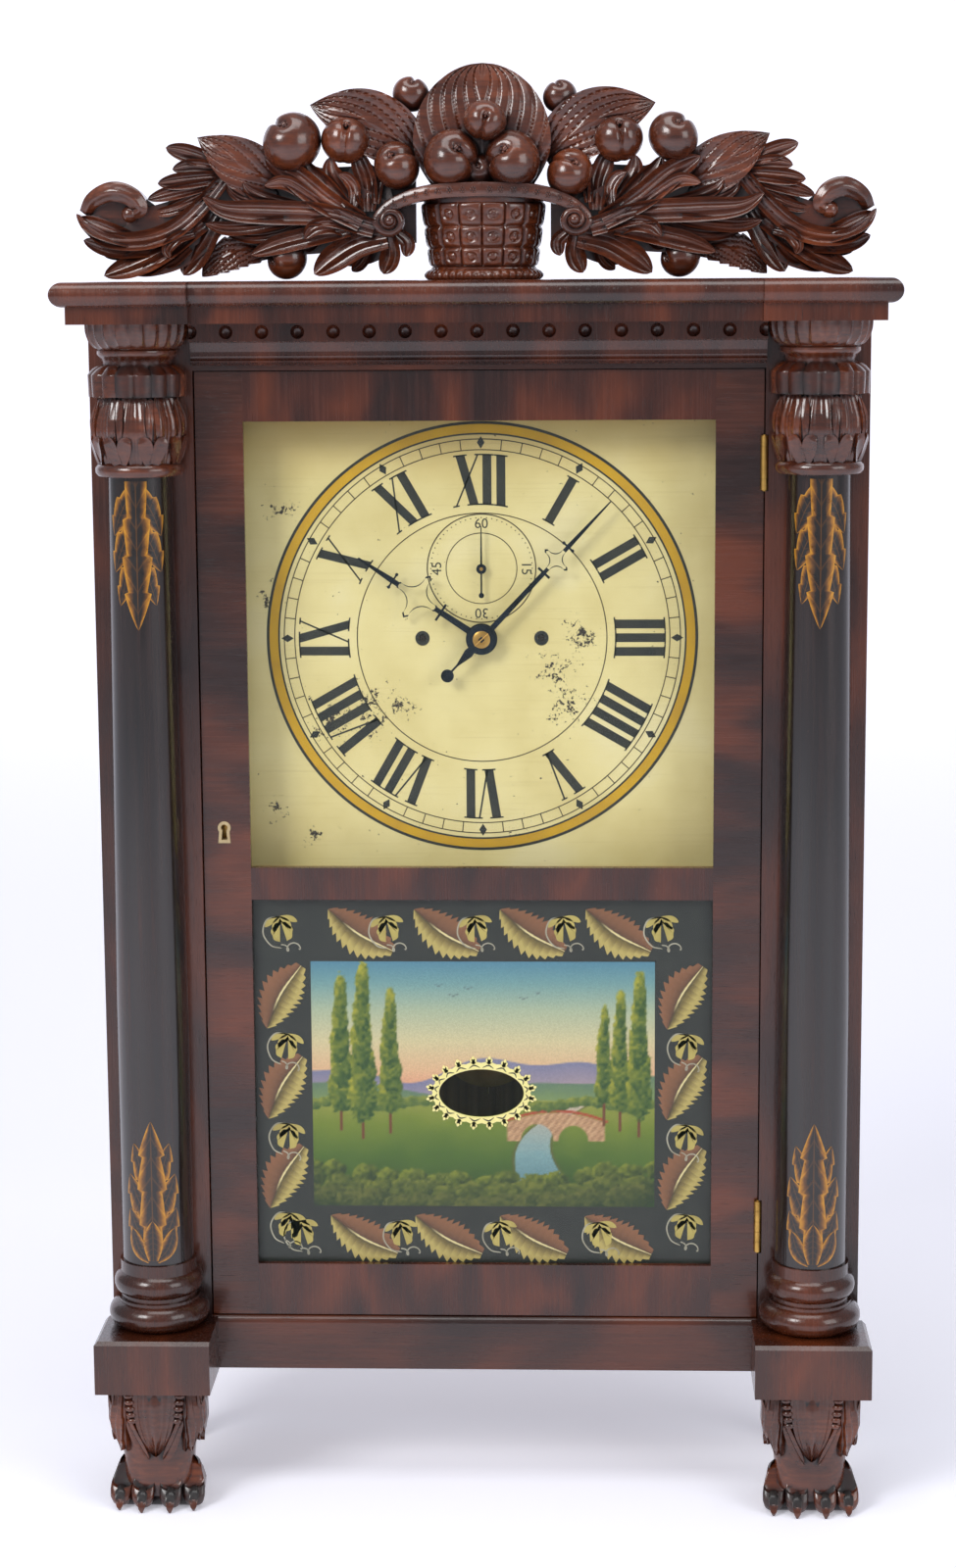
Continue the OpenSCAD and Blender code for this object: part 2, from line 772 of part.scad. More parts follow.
// Smooth leaves behind the spray and the fruit, drawn the same way, with pointed tips
broad_leaves = [
    [34, [11, 20, 15], [[-128, 60], [-154, 76], [-182, 92.5]]],
    [41, [16, 24, 16], [[-36, 78], [-68, 101], [-108, 112.5]]],
    [24, [10, 15, 12], [[-134, 22], [-155, 20], [-170, 13], [-181, 3]]]
];
end_stem = [[-163, 68], [-177, 51], [-195, 35], [-216, 27], [-240, 27], [-254, 35], [-262, 44]];
end_curl = [[-257, 44], [-250, 53], [-237, 58], [-225, 55], [-219, 47], [-225, 42]];
spray_fruit = [[-121, 88.6, 18.5], [-86, 89.6, 15.3], [-54, 72, 15.3, -10], [-47, 118, 11.2], [-126, 13.6, 13, 0]];
basket_x = 4;

// The right half is the left one turned over, about the middle of the basket and up to the same ends
function turned_over(path, right) = [
    for (p = path) [right ? p[0] - lookup(-p[0], [[190, 2 * basket_x], [265, -3.5]]) : p[0], p[1]]
];

module crest_half(right) {
    long = [0, 0.2, 0.4, 0.6, 0.8, 0.95, 1];
    mirror([right ? 1 : 0, 0, 0]) {
        translate([0, crest_board_t, 0]) {
            for (i = [0:len(spray_leaves) - 1])
                let (leaf = spray_leaves[i])
                petal(turned_over(leaf[2], right), leaf[0] * 1.21, leaf[1] + 0.17 * i * [1, 1, 1], 2 + 0.29 * i);
            for (i = [0:len(broad_leaves) - 1])
                let (leaf = broad_leaves[i])
                petal(turned_over(leaf[2], right), leaf[0], leaf[1] + 0.22 * i * [1, 1, 1], 0.8 + 0.27 * i, 0.95);
            petal(turned_over(end_stem, right), 13, [17, 23, 18], back = 8.1, stations = long);
            petal(turned_over(end_curl, right), 13, [19, 29, 26], back = 9.2, stations = long, cup = -0.3);
        }
        for (f = spray_fruit)
            fruit(turned_over([f], right)[0][0], f[1], f[2], len(f) > 3 ? f[3] : -6);
    }
}

// The board behind the carving, whose outline follows the crest's stepped hump
module crest_board() {
    left = [
        [-58, 22], [-78, 20], [-104, 24], [-140, 24], [-170, 30], [-186, 14], [-214, 12], [-232, 10], [-250, 22],
        [-254, 40], [-240, 52], [-222, 50], [-200, 50], [-196, 60], [-170, 74], [-128, 84], [-112, 104],
        [-62, 110]
    ];
    slab(0, crest_board_t)
        polygon(concat(left, [[basket_x, 130]], [
            for (p = [for (i = [len(left) - 1:-1:0]) left[i]]) [-turned_over([p], true)[0][0], p[1]]
        ]));
}

// The basket bulges out of the board; its wall is a grid of sunk squares under a rope rim
module basket() {
    rows = 3;
    cols = 12;
    top_z = 51;
    foot_z = 8;
    r_top = 44;
    r_foot = 34;
    squash = 0.62;
    cell_h = (top_z - foot_z) / rows;
    scale([1, squash, 1])
        difference() {
            union() {
                translate([0, 0, foot_z])
                    cylinder(r1 = r_foot, r2 = r_top, h = top_z - foot_z, $fn = 24);
                rotate_extrude($fn = 24) {
                    square([r_foot, foot_z]);
                    translate([r_foot, foot_z / 2]) circle(r = foot_z / 2, $fn = 8);
                }
                translate([0, 0, top_z]) rotate_extrude($fn = 24) {
                    square([r_top, 9]);
                    translate([r_top, 4.5]) circle(r = 5.5, $fn = 8);
                }
            }
            for (i = [0:cols / 2 - 1], j = [0:rows - 1]) {
                zc = foot_z + cell_h * (j + 0.5);
                rc = r_foot + (r_top - r_foot) * (zc - foot_z) / (top_z - foot_z);
                cw = 2 * PI * rc / cols - 3.4;
                rotate(-90 - (cols / 2 - 1) * 15 + i * 30)
                    translate([rc + 0.4, -cw / 2, zc - cell_h / 2 + 1.7])
                    cube([5, cw, cell_h - 3.4]);
            }
        }
}

// The rim's ends roll down into a scroll beside the basket
module rim_scroll() {
    scroll = [-60, -18, 38];
    ring_r = 8;
    rim_r = 4.2;
    translate(scroll) {
        rotate([90, 0, 0]) {
            rotate_extrude($fn = 16) translate([ring_r, 0]) circle(r = rim_r, $fn = 8);
            cylinder(r = ring_r, h = 8, center = true, $fn = 16);
        }
        translate([0, -3, 0]) sphere(r = rim_r, $fn = 10);
    }
    hull() {
        translate([-62, -18, 46]) sphere(r = rim_r, $fn = 8);
        translate([-44, -20, 55]) sphere(r = rim_r, $fn = 8);
    }
}

module crest_carving() {
    color([0.36, 0.17, 0.1])
        translate([0, crest_y, cornice_top_z])
        scale([crest_w / drawn_w, 1, crest_h / drawn_h])
        union() {
            intersection() {
                union() {
                    crest_board();
                    crest_half(false);
                    crest_half(true);
                    translate([basket_x, 0, 0]) {
                        translate([0, crest_board_t, 0])
                            petal([[0, 52], [0, 96], [0, drawn_h]], 89, [14, 25, 15], 1.7, stations = [0:0.1:1]);
                        fruit(0, 101, 13.5, -18);
                        fruit(-20, 77, 18, -18);
                        fruit(20, 77, 18, -18);
                        basket();
                        both_sides() rim_scroll();
                    }
                }
                block(-drawn_w / 2, drawn_w / 2, -60, crest_board_t, 0, drawn_h);
            }
            block(-tenon_w / 2, tenon_w / 2, 0, tenon_t, -tenon_d, 1);
        }
}

// Door

door_tenon_t = 7;
leaf_t = 1.2;
leaf_w = 14;
knuckle_r = 2.7;
pin_end = 0.6;
hinge_x = opening_x - door_gap / 2;
hinge_y = door_y - knuckle_r + 0.4;
screw_r = 1.5;
screw_head_r = 2.8;

function hinge_zs() = [door_z + 65.9, door_top_z - 61.4];

// Room for the knuckles and the pin's ends at the front edge of the stiles
module hinge_relief() {
    room = pin_end + joint_fit;
    for (z = hinge_zs())
        translate([hinge_x, hinge_y, z - hinge_l / 2 - room])
            cylinder(r = knuckle_r + 0.3, h = hinge_l + 2 * room, $fn = fine);
}

// Screws of one leaf, as pairs of heights
module at_screws(x, dir) {
    for (z = hinge_zs(), dz = [-hinge_l * 0.3, 0, hinge_l * 0.3])
        translate([x, door_y + leaf_w * 0.58, z + dz])
            rotate([0, dir * 90, 0]) children();
}

module screw_hole() {
    translate([0, 0, -0.5]) cylinder(r = screw_r + running_fit, h = 12.5, $fn = fine);
}

module screw() {
    cylinder(r1 = screw_head_r, r2 = screw_r, h = leaf_t, $fn = fine);
    cylinder(r = screw_r, h = 11, $fn = fine);
}

// A pane's rabbet seen from the back of the frame
module rabbet(z0, z1) {
    block(-pane_x - rabbet_w, pane_x + rabbet_w, pane_y, door_back_y + 1, z0 - rabbet_w, z1 + rabbet_w);
}

module rail_tenon(z0, z1, grow) {
    y = (pane_y + door_back_y) / 2;
    block(-pane_x - tenon_l - grow, pane_x + tenon_l + grow, y - door_tenon_t / 2 - grow,
        y + door_tenon_t / 2 + grow, z0 - grow, z1 + grow);
}

module all_tenons(grow) {
    rail_tenon(door_z + 8, tenon_low_z(), grow);
    rail_tenon(middle_rail_z + 7, pane_z - 7, grow);
    rail_tenon(pane_top_z + rabbet_w + 2, door_top_z - 8, grow);
}

function tenon_low_z() = tablet_z - rabbet_w - 2;

module door_stile(s) {
    color("sienna")
        difference() {
            mirror([s < 0 ? 1 : 0, 0, 0])
                block(pane_x, door_x, door_y, door_back_y, door_z, door_top_z);
            rabbet(tablet_z, middle_rail_z);
            rabbet(pane_z, pane_top_z);
            all_tenons(joint_fit);
            if (s > 0) {
                leaf_recess(door_x, -1);
                hinge_relief();
                at_screws(door_x, -1) screw_hole();
            } else {
                lock_space();
            }
        }
}

module door_stile_hinge() { door_stile(1); }

module door_stile_lock() { door_stile(-1); }

module door_rail(z0, z1) {
    difference() {
        block(-pane_x, pane_x, door_y, door_back_y, z0, z1);
        rabbet(tablet_z, middle_rail_z);
        rabbet(pane_z, pane_top_z);
    }
}

module door_top_rail() {
    color("sienna") {
        door_rail(pane_top_z, door_top_z);
        rail_tenon(pane_top_z + rabbet_w + 2, door_top_z - 8, 0);
    }
}

module door_middle_rail() {
    color("sienna") {
        door_rail(middle_rail_z, pane_z);
        rail_tenon(middle_rail_z + 7, pane_z - 7, 0);
    }
}

module door_bottom_rail() {
    color("sienna") {
        door_rail(door_z, tablet_z);
        rail_tenon(door_z + 8, tenon_low_z(), 0);
    }
}

module pane(z0, z1) {
    edge = rabbet_w - 0.5;
    block(-pane_x - edge, pane_x + edge, pane_y, pane_y + glass_t, z0 - edge, z1 + edge);
}

module upper_glass() {
    color([0.85, 0.9, 0.88, 0.3]) pane(pane_z, pane_top_z);
}

module tablet_glass() {
    color([0.2, 0.4, 0.35]) pane(tablet_z, middle_rail_z);
}

// Square beads behind each pane, mitre-free, the uprights between the level ones
module bead_frame(z0, z1) {
    y0 = pane_y + glass_t;
    y1 = y0 + bead_w;
    out = rabbet_w - joint_fit;
    in = rabbet_w - bead_w;
    for (z = [z0 - out, z1 + in])
        block(-pane_x - out, pane_x + out, y0, y1, z, z + bead_w - joint_fit);
    both_sides()
        block(pane_x + in, pane_x + out, y0, y1, z0 - in + joint_fit, z1 + in - joint_fit);
}

module glazing_beads() {
    color("peru") {
        bead_frame(tablet_z, middle_rail_z);
        bead_frame(pane_z, pane_top_z);
    }
}

// Lock

lock_w = 24;
lock_h = 46;
lock_t = 9;
bolt_t = 4;
bolt_h = 14;
bolt_l = 18;
keyhole_r = 2.3;
escutcheon_proud = 0.6;
keyhole_x = -(pane_x + door_x) / 2 - 1.8;
lock_x0 = -door_x;
lock_y0 = door_back_y - lock_t;

function bolt_y() = lock_y0 + lock_t / 2;

// A keyhole: a round hole over a flared slot
module keyhole_shape(grow) {
    translate([0, 3.2]) circle(r = keyhole_r + grow, $fn = fine);
    polygon([
        [-1.2 - grow, 3.2], [1.2 + grow, 3.2], [2.1 + grow, -5.2 - grow], [-2.1 - grow, -5.2 - grow]
    ]);
}

module lock_space() {
    block(lock_x0 - 1, lock_x0 + lock_w + joint_fit, lock_y0 - joint_fit, door_back_y + 1,
        keyhole_z - lock_h / 2 - joint_fit, keyhole_z + lock_h / 2 + joint_fit);
    translate([keyhole_x, 0, keyhole_z])
        slab(door_y - 1, lock_y0 + 1) keyhole_shape(2.1 + joint_fit);
}

module lock_case() {
    color("goldenrod")
        difference() {
            block(lock_x0, lock_x0 + lock_w, lock_y0, door_back_y,
                keyhole_z - lock_h / 2, keyhole_z + lock_h / 2);
            translate([lock_x0 - 1, bolt_y() - bolt_t / 2 - running_fit, keyhole_z - bolt_h / 2 - running_fit])
                cube([bolt_l + 2, bolt_t + 2 * running_fit, bolt_h + 2 * running_fit]);
            translate([keyhole_x, 0, keyhole_z])
                slab(lock_y0 - 1, lock_y0 + 2) keyhole_shape(0);
        }
}

module lock_bolt() {
    color("goldenrod")
        translate([lock_x0, bolt_y() - bolt_t / 2, keyhole_z - bolt_h / 2])
        cube([bolt_l, bolt_t, bolt_h]);
}

// The pale liner of the keyhole, let into the stile
module escutcheon() {
    color("wheat")
        translate([keyhole_x, 0, keyhole_z])
        difference() {
            slab(door_y - escutcheon_proud, lock_y0 - joint_fit) keyhole_shape(2.1);
            slab(door_y - escutcheon_proud - 1, lock_y0) keyhole_shape(0);
        }
}

// Hinges: five knuckles, three on the case leaf with the pin and two on the door leaf

module hinge_leaf(case_side) {
    dir = case_side ? 1 : -1;
    edge = case_side ? opening_x : door_x;
    knuckle = hinge_l / 5;
    for (z = hinge_zs())
        translate([0, 0, z - hinge_l / 2]) {
            difference() {
                union() {
                    translate([dir > 0 ? edge : edge - leaf_t, door_y, 0])
                        cube([leaf_t, leaf_w, hinge_l]);
                    for (k = case_side ? [0, 2, 4] : [1, 3])
                        translate([hinge_x, hinge_y, k * knuckle + 0.1]) {
                            cylinder(r = knuckle_r, h = knuckle - 0.2, $fn = fine);
                            translate([dir > 0 ? 0 : -door_gap / 2 - leaf_t, 0, 0])
                                cube([door_gap / 2 + leaf_t, door_y - hinge_y + 2, knuckle - 0.2]);
                        }
                }
                if (case_side) {
                    for (k = [1, 3])
                        translate([hinge_x, hinge_y, k * knuckle - 0.1])
                            cylinder(r = knuckle_r + 0.3, h = knuckle + 0.2, $fn = fine);
                } else {
                    for (k = [0, 2, 4])
                        translate([hinge_x, hinge_y, k * knuckle - 0.1])
                            cylinder(r = knuckle_r + 0.3, h = knuckle + 0.2, $fn = fine);
                    translate([hinge_x, hinge_y, -1])
                        cylinder(r = hinge_pin_r + running_fit, h = hinge_l + 2, $fn = fine);
                }
                for (dz = [0.2, 0.5, 0.8])
                    translate([edge - dir * 0.01, door_y + leaf_w * 0.58, hinge_l * dz])
                        rotate([0, dir * 90, 0])
                        cylinder(r1 = screw_head_r + running_fit, r2 = screw_r + running_fit,
                            h = leaf_t + 0.02, $fn = fine);
            }
            if (case_side)
                translate([hinge_x, hinge_y, -pin_end])
                    cylinder(r = hinge_pin_r, h = hinge_l + 2 * pin_end, $fn = fine);
        }
    at_screws(edge, dir) screw();
}

module hinge_leaves_case() {
    color("gold") hinge_leaf(true);
}

module hinge_leaves_door() {
    color("gold") hinge_leaf(false);
}

// Supports: two upright boards with the seatboard housed between them

module movement_supports() {
    housing = 3;
    top_z = pane_top_z - 6;
    seat_t = 12;
    seat_y0 = dial_back_y + 2;
    seat_y1 = rear_y;
    color("peru") {
        both_sides()
            difference() {
                block(support_x - support_t, support_x, dial_back_y, backboard_y, rail_z, top_z);
                block(support_x - support_t - 1, support_x - support_t + housing, seat_y0 - joint_fit,
                    seat_y1 + joint_fit, seat_top_z - seat_t - joint_fit, seat_top_z + joint_fit);
            }
        block(-support_x + support_t - housing + joint_fit, support_x - support_t + housing - joint_fit,
            seat_y0, seat_y1, seat_top_z - seat_t, seat_top_z);
    }
}

// Dial

module dial() {
    margin = rabbet_w + 9;
    color("khaki")
        difference() {
            block(-dial_w / 2, dial_w / 2, dial_y, dial_back_y, pane_z - margin, pane_top_z + margin);
            rod_y(0, dial_z, dial_y - 1, dial_back_y + 1, 5.5);
            rod_y(0, seconds_z, dial_y - 1, dial_back_y + 1, 2.5);
            both_sides()
                rod_y(winding_x, dial_z - 0.5, dial_y - 1, dial_back_y + 1, winding_hole_r);
        }
}

// Wheels

// A toothed outline; root and tip are in modules, and phase turns one tooth to that angle
function tooth_points(teeth, m, phase, tip, root) = [
    for (i = [0:teeth - 1], k = [[-0.24, -root], [-0.11, tip], [0.11, tip], [0.24, -root]])
        let (a = phase + 360 / teeth * (i + k[0]), r = m * (teeth / 2 + k[1]))
        [r * cos(a), r * sin(a)]
];

// A wheel at x, z from y0 over t, with a hub bore, rim and arms left between round windows
module gear(x, z, y0, t, teeth, m, phase = 0, tip = 0.75, root = 1.05, bore = 0, arms = 0) {
    translate([x, y0 + t, z])
        rotate([90, 0, 0])
        linear_extrude(t)
        difference() {
            polygon(tooth_points(teeth, m, phase, tip, root));
            if (bore > 0) circle(r = bore, $fn = fine);
            if (arms > 0)
                for (i = [0:arms - 1])
                    rotate(phase + (i + 0.5) * 360 / arms)
                    translate([m * teeth * 0.27, 0])
                    circle(r = m * teeth * 0.14, $fn = fine);
        }
}

module pinion(x, z, y0, t, leaves, m, phase = 0) {
    gear(x, z, y0, t, leaves, m, phase, tip = 0.5, root = 1.15);
}

// The angle from one arbor to another, in the X-Z plane
function bearing(x0, z0, x1, z1) = atan2(z1 - z0, x1 - x0);

great_y = train_y + 8.5;
centre_wheel_y = train_y + 1.5;
third_wheel_y = train_y + 5.5;
centre_to_third = bearing(0, dial_z, third_x, third_z);
third_to_escape = bearing(third_x, third_z, 0, seconds_z);

module centre_wheel() {
    to_great = bearing(0, dial_z, winding_x, dial_z - 0.5);
    color("gold") {
        rod_y(0, dial_z, plate_y - 21, train_y + 0.1, centre_arbor_r);
        rod_y(0, dial_z, train_y + 0.1, rear_plate_y - 0.1, centre_arbor_r);
        rod_y(0, dial_z, rear_plate_y - 0.2, rear_y, arbor_r - 0.2);
        gear(0, dial_z, centre_wheel_y, 1.5, centre_teeth, centre_module, centre_to_third, arms = 5);
        pinion(0, dial_z, great_y - 0.7, 3.9, centre_leaves, great_module, to_great + 180 / centre_leaves);
    }
}

module third_wheel() {
    color("gold") {
        rod_y(third_x, third_z, plate_y, rear_y, arbor_r - 0.2);
        rod_y(third_x, third_z, train_y + 0.2, rear_plate_y - 0.2, arbor_r);
        pinion(third_x, third_z, centre_wheel_y - 0.7, 3.2, third_leaves, centre_module,
            centre_to_third + 180 + 180 / third_leaves);
        gear(third_x, third_z, third_wheel_y, 1.5, third_teeth, third_module, third_to_escape, arms = 4);
    }
}

// The escape wheel turns behind the back plate on a long arbor that also carries the seconds hand
module escape_wheel() {
    color("gold") {
        rod_y(0, seconds_z, dial_y - 5.2, rear_y + 4, arbor_r);
        pinion(0, seconds_z, third_wheel_y - 1, 3.5, escape_leaves, third_module,
            third_to_escape + 180 + 180 / escape_leaves);
        slab(rear_y + 1.5, rear_y + 3)
            translate([0, seconds_z])
            difference() {
                polygon([
                    for (i = [0:escape_teeth - 1], k = [[0, 1], [0.22, 0.86], [0.8, 0.86]])
                        let (a = -360 / escape_teeth * (i + k[0])) [escape_r * k[1] * cos(a), escape_r * k[1] * sin(a)]
                ]);
                for (i = [0:4])
                    rotate(i * 72) translate([9.5, 0]) circle(r = 4.2, $fn = fine);
            }
    }
}

// The great wheel turns on the winding arbor of the time side
module great_wheel() {
    from_centre = bearing(winding_x, dial_z - 0.5, 0, dial_z);
    color("gold")
        gear(winding_x, dial_z - 0.5, great_y, 2.5, great_teeth, great_module, from_centre,
            bore = 2.6 + running_fit, arms = 5);
}

// Side of the square that the winding key fits
key_square = 4.6;

// A grooved drum on a winding arbor with a squared front end
module drum(x, y0, y1) {
    z = dial_z - 0.5;
    pitch = 2.6;
    grooves = floor((y1 - y0 - 4) / pitch);
    rod_y(x, z, plate_y, rear_y, 2.6);
    translate([x - key_square / 2, dial_y + 1, z - key_square / 2])
        cube([key_square, plate_y - dial_y - 1 - seat_gap, key_square]);
    difference() {
        union() {
            rod_y(x, z, y0, y1, drum_r);
            rod_y(x, z, y0, y0 + 1.2, drum_r + 2.4);
            rod_y(x, z, y1 - 1.2, y1, drum_r + 2.4);
        }
        for (i = [0:grooves - 1])
            translate([x, y0 + 2.6 + pitch * (i + 0.5), z])
                rotate([90, 0, 0])
                rotate_extrude($fn = fine)
                translate([drum_r + 0.4, 0]) circle(r = 0.9, $fn = fine);
    }
}

module drum_time() {
    color("gold") drum(winding_x, great_y + 2.8, rear_plate_y - 1);
}

module drum_strike() {
    y = rear_plate_y - 4;
    color("gold") {
        drum(-winding_x, great_y, y + 0.1);
        gear(-winding_x, dial_z - 0.5, y, 2.5, great_teeth, great_module, 0, arms = 5);
        for (i = [0:7])
            translate([-winding_x, 0, dial_z - 0.5])
                rotate([0, i * 45 + 10, 0])
                rod_y(0, 30, y - 3, y + 0.1, 1);
    }
}

// Motion work: a cannon pinion drives the motion wheel, and its pinion drives the hour wheel

motion_y = dial_back_y + 6.5;
hour_y = dial_back_y + 1.8;
motion_z = dial_z - motion_reach;
motion_module = 2 * motion_reach / (cannon_teeth + motion_teeth);
hour_module = 2 * motion_reach / (motion_leaves + hour_teeth);
hand_y = dial_y - 10;

module motion_wheel() {
    color("gold")
        difference() {
            union() {
                gear(0, motion_z, motion_y, 1.5, motion_teeth, motion_module, 90, arms = 4);
                pinion(0, motion_z, hour_y - 0.6, motion_y - hour_y + 0.7, motion_leaves, hour_module,
                    90 + 180 / motion_leaves);
            }
            rod_y(0, motion_z, hour_y - 1, motion_y + 2, 1.5 + running_fit);
        }
}

// An open lozenge with hollow sides, as hands of this pattern carry
module hollow_lozenge(reach, wall) {
    difference() {
        lozenge(reach);
        lozenge(reach - wall);
    }
}

module lozenge(reach) {
    difference() {
        polygon([[reach, 0], [0, reach], [-reach, 0], [0, -reach]]);
        for (a = [45:90:315])
            rotate(a) translate([reach * 1.05, 0]) circle(r = reach * 0.62, $fn = fine);
    }
}

// A hand along +Y with two cross bars and an open lozenge between them
module hand_shape(length, gem, bar1, bar2, stem, tip) {
    gem_at = (bar1 + bar2) / 2;
    polygon([[-stem / 2, 0], [stem / 2, 0], [stem / 2.6, bar1], [-stem / 2.6, bar1]]);
    translate([-stem * 1.3, bar1 - 0.8]) square([stem * 2.6, 1.6]);
    translate([0, gem_at]) hollow_lozenge(gem, 1.5);
    for (x = [-stem, 0, stem])
        translate([x, bar2]) circle(r = 1.1, $fn = fine);
    translate([-stem, bar2 - 0.6]) square([2 * stem, 1.2]);
    translate([-stem / 3, bar1]) square([stem / 1.5, gem_at - gem - bar1 + 2.4]);
    translate([-stem / 3, gem_at + gem - 2.4]) square([stem / 1.5, bar2 - gem_at - gem + 3]);
    polygon([[-stem / 2.6, bar2], [stem / 2.6, bar2], [tip, length], [-tip, length]]);
}

module turned_hand(angle, y0, y1) {
    translate([0, 0, dial_z]) rotate([0, angle, 0]) slab(y0, y1) children();
}

// The minute hand sits on the cannon, whose pinion turns with it
module minute_hand() {
    angle = minutes_shown * 6;
    color([0.08, 0.09, 0.12])
        difference() {
            union() {
                turned_hand(angle, hand_y, hand_y + 1.2) {
                    hand_shape(minute_l, 10.5, 62, 86, 4, 0.4);
                    circle(r = 8, $fn = fine);
                    polygon([[-1.4, 0], [-3.2, -13], [-0.7, -24], [-0.7, -32], [0.7, -32], [0.7, -24], [3.2, -13], [1.4, 0]]);
                    translate([0, -34]) circle(r = 4.4, $fn = fine);
                }
                rod_y(0, dial_z, hand_y, motion_y + 1.6, 2.6);
                pinion(0, dial_z, motion_y - 0.6, 2.9, cannon_teeth, motion_module, -90 + 180 / cannon_teeth);
            }
            rod_y(0, dial_z, hand_y - 1, motion_y + 4, centre_arbor_r + running_fit);
        }
}

module hour_hand() {
    angle = 300 + minutes_shown / 2;
    color([0.08, 0.09, 0.12])
        difference() {
            union() {
                turned_hand(angle, hand_y + 2.6, hand_y + 3.8) {
                    hand_shape(hour_l, 17, 33, 72, 5, 0.6);
                    circle(r = 10.7, $fn = fine);
                }
                rod_y(0, dial_z, hand_y + 2.6, hour_y + 1.6, 3.8);
                gear(0, dial_z, hour_y, 1.5, hour_teeth, hour_module, -90, tip = 0.65);
            }
            rod_y(0, dial_z, hand_y + 2, hour_y + 2, 2.6 + running_fit);
        }
}

module seconds_hand() {
    y = dial_y - 5;
    color([0.08, 0.09, 0.12])
        difference() {
            translate([0, 0, seconds_z])
                slab(y, y + 0.8) {
                    polygon([[-0.7, 0], [0.7, 0], [0.35, second_l], [-0.35, second_l]]);
                    circle(r = 3.4, $fn = fine);
                    polygon([[-0.6, 0], [-0.6, -18], [0.6, -18], [0.6, 0]]);
                    translate([0, -18]) circle(r = 1.8, $fn = fine);
                }
            rod_y(0, seconds_z, y - 0.1, y + 2, arbor_r);
        }
}

// Plates

pillar_x = plate_w / 2 - 9;
pillar_low = 9;
pillar_high = 142;
pillar_r = 3.6;

module at_pillars() {
    for (x = [-pillar_x, pillar_x], z = [seat_top_z + pillar_low, seat_top_z + pillar_high])
        translate([x, 0, z]) children();
}

// A plate with its pivot holes; arbors lists x, z and radius
module plate(y0, arbors) {
    difference() {
        block(-plate_w / 2, plate_w / 2, y0, y0 + plate_t, seat_top_z, seat_top_z + plate_h);
        for (a = arbors)
            rod_y(a[0], a[1], y0 - 1, y0 + plate_t + 1, a[2] + running_fit);
        at_pillars() rod_y(0, 0, y0 - 1, y0 + plate_t + 1, pillar_r / 2 + running_fit);
    }
}

winding_arbors = [[winding_x, dial_z - 0.5, 2.6], [-winding_x, dial_z - 0.5, 2.6]];

module front_plate() {
    color("gold") {
        plate(plate_y, concat(winding_arbors, [
            [0, dial_z, centre_arbor_r], [third_x, third_z, arbor_r - 0.2],
            [0, seconds_z, arbor_r], [hammer_x, hammer_z, arbor_r]
        ]));
        rod_y(0, motion_z, hour_y - 0.6, plate_y + 0.1, 1.5);
    }
}

// The back plate carries the pillars, the verge pin and the pendulum's post
module back_plate() {
    color("gold") {
        plate(rear_plate_y, concat(winding_arbors, [
            [0, dial_z, arbor_r - 0.2], [third_x, third_z, arbor_r - 0.2],
            [0, seconds_z, arbor_r], [hammer_x, hammer_z, arbor_r]
        ]));
        rod_y(0, verge_z, rear_y - 0.1, rear_y + 5, arbor_r);
        rod_y(0, pivot_z + post_r + roll_r + seat_gap, rear_y - 0.1, rear_y + 12, post_r);
        at_pillars() {
            rod_y(0, 0, train_y + running_fit, rear_plate_y - running_fit, pillar_r);
            rod_y(0, 0, plate_y, rear_y, pillar_r / 2);
        }
    }
}

// Strike work

module bell() {
    wall = 2;
    mouth_y = backboard_y - 24;
    color("silver") {
        translate([bell_x, backboard_y - 4, bell_z])
            rotate([90, 0, 0])
            rotate_extrude($fn = fine)
            polygon([
                [2.6, 0], [bell_r * 0.62, 1], [bell_r * 0.86, 6], [bell_r, 20], [bell_r - wall, 20],
                [bell_r * 0.86 - wall, 7], [bell_r * 0.6, 3], [2.6, 2]
            ]);
        rod_y(bell_x, bell_z, mouth_y + 12, backboard_y, 2.6);
        rod_y(bell_x, bell_z, backboard_y - 4 + 0.1, backboard_y, 7);
    }
}

module hammer() {
    head_x = bell_x + 7;
    head_z = bell_z + bell_r + 2.4;
    color("silver") {
        rod_y(hammer_x, hammer_z, plate_y, rear_y, arbor_r);
        translate([0, hammer_y + 1, 0])
            rotate([90, 0, 0])
            linear_extrude(2) {
                polygon([
                    [hammer_x, hammer_z - 2], [hammer_x, hammer_z + 2],
                    [head_x, head_z + 8], [head_x, head_z + 6]
                ]);
                polygon([
                    [hammer_x - 2, hammer_z], [hammer_x + 2, hammer_z],
                    [hammer_x - 2.6, dial_z + 32.4], [hammer_x - 4.4, dial_z + 32.4]
                ]);
                translate([hammer_x, hammer_z]) circle(r = 3.4, $fn = fine);
            }
        translate([head_x, hammer_y, head_z]) cylinder(r = 4, h = 12, $fn = fine);
    }
}

// Verge and pendulum

module verge() {
    span = 46.4;
    px = (escape_r + wheel_gap) * sin(span);
    pz = seconds_z + (escape_r + wheel_gap) * cos(span);
    wire_y = rear_y + 5.2;
    color("silver")
        difference() {
            union() {
                rod_y(0, verge_z, rear_y + 0.3, rear_y + 6, 2.6);
                slab(rear_y + 1, rear_y + 3.4)
                    for (s = [-1, 1])
                        polygon([
                            [0, verge_z + 2], [s * 2, verge_z - 1.5],
                            [s * px, pz], [s * (px + 2.2), pz + 0.4], [s * px, pz + 5]
                        ]);
                translate([0, wire_y, fork_z]) cylinder(r = 0.7, h = verge_z - fork_z, $fn = fine);
                translate([0, pendulum_y, fork_z])
                    rotate_extrude($fn = fine)
                    translate([pendulum_y - wire_y, 0]) circle(r = 0.7, $fn = fine);
            }
            rod_y(0, verge_z, rear_y, rear_y + 7, arbor_r + running_fit);
        }
}

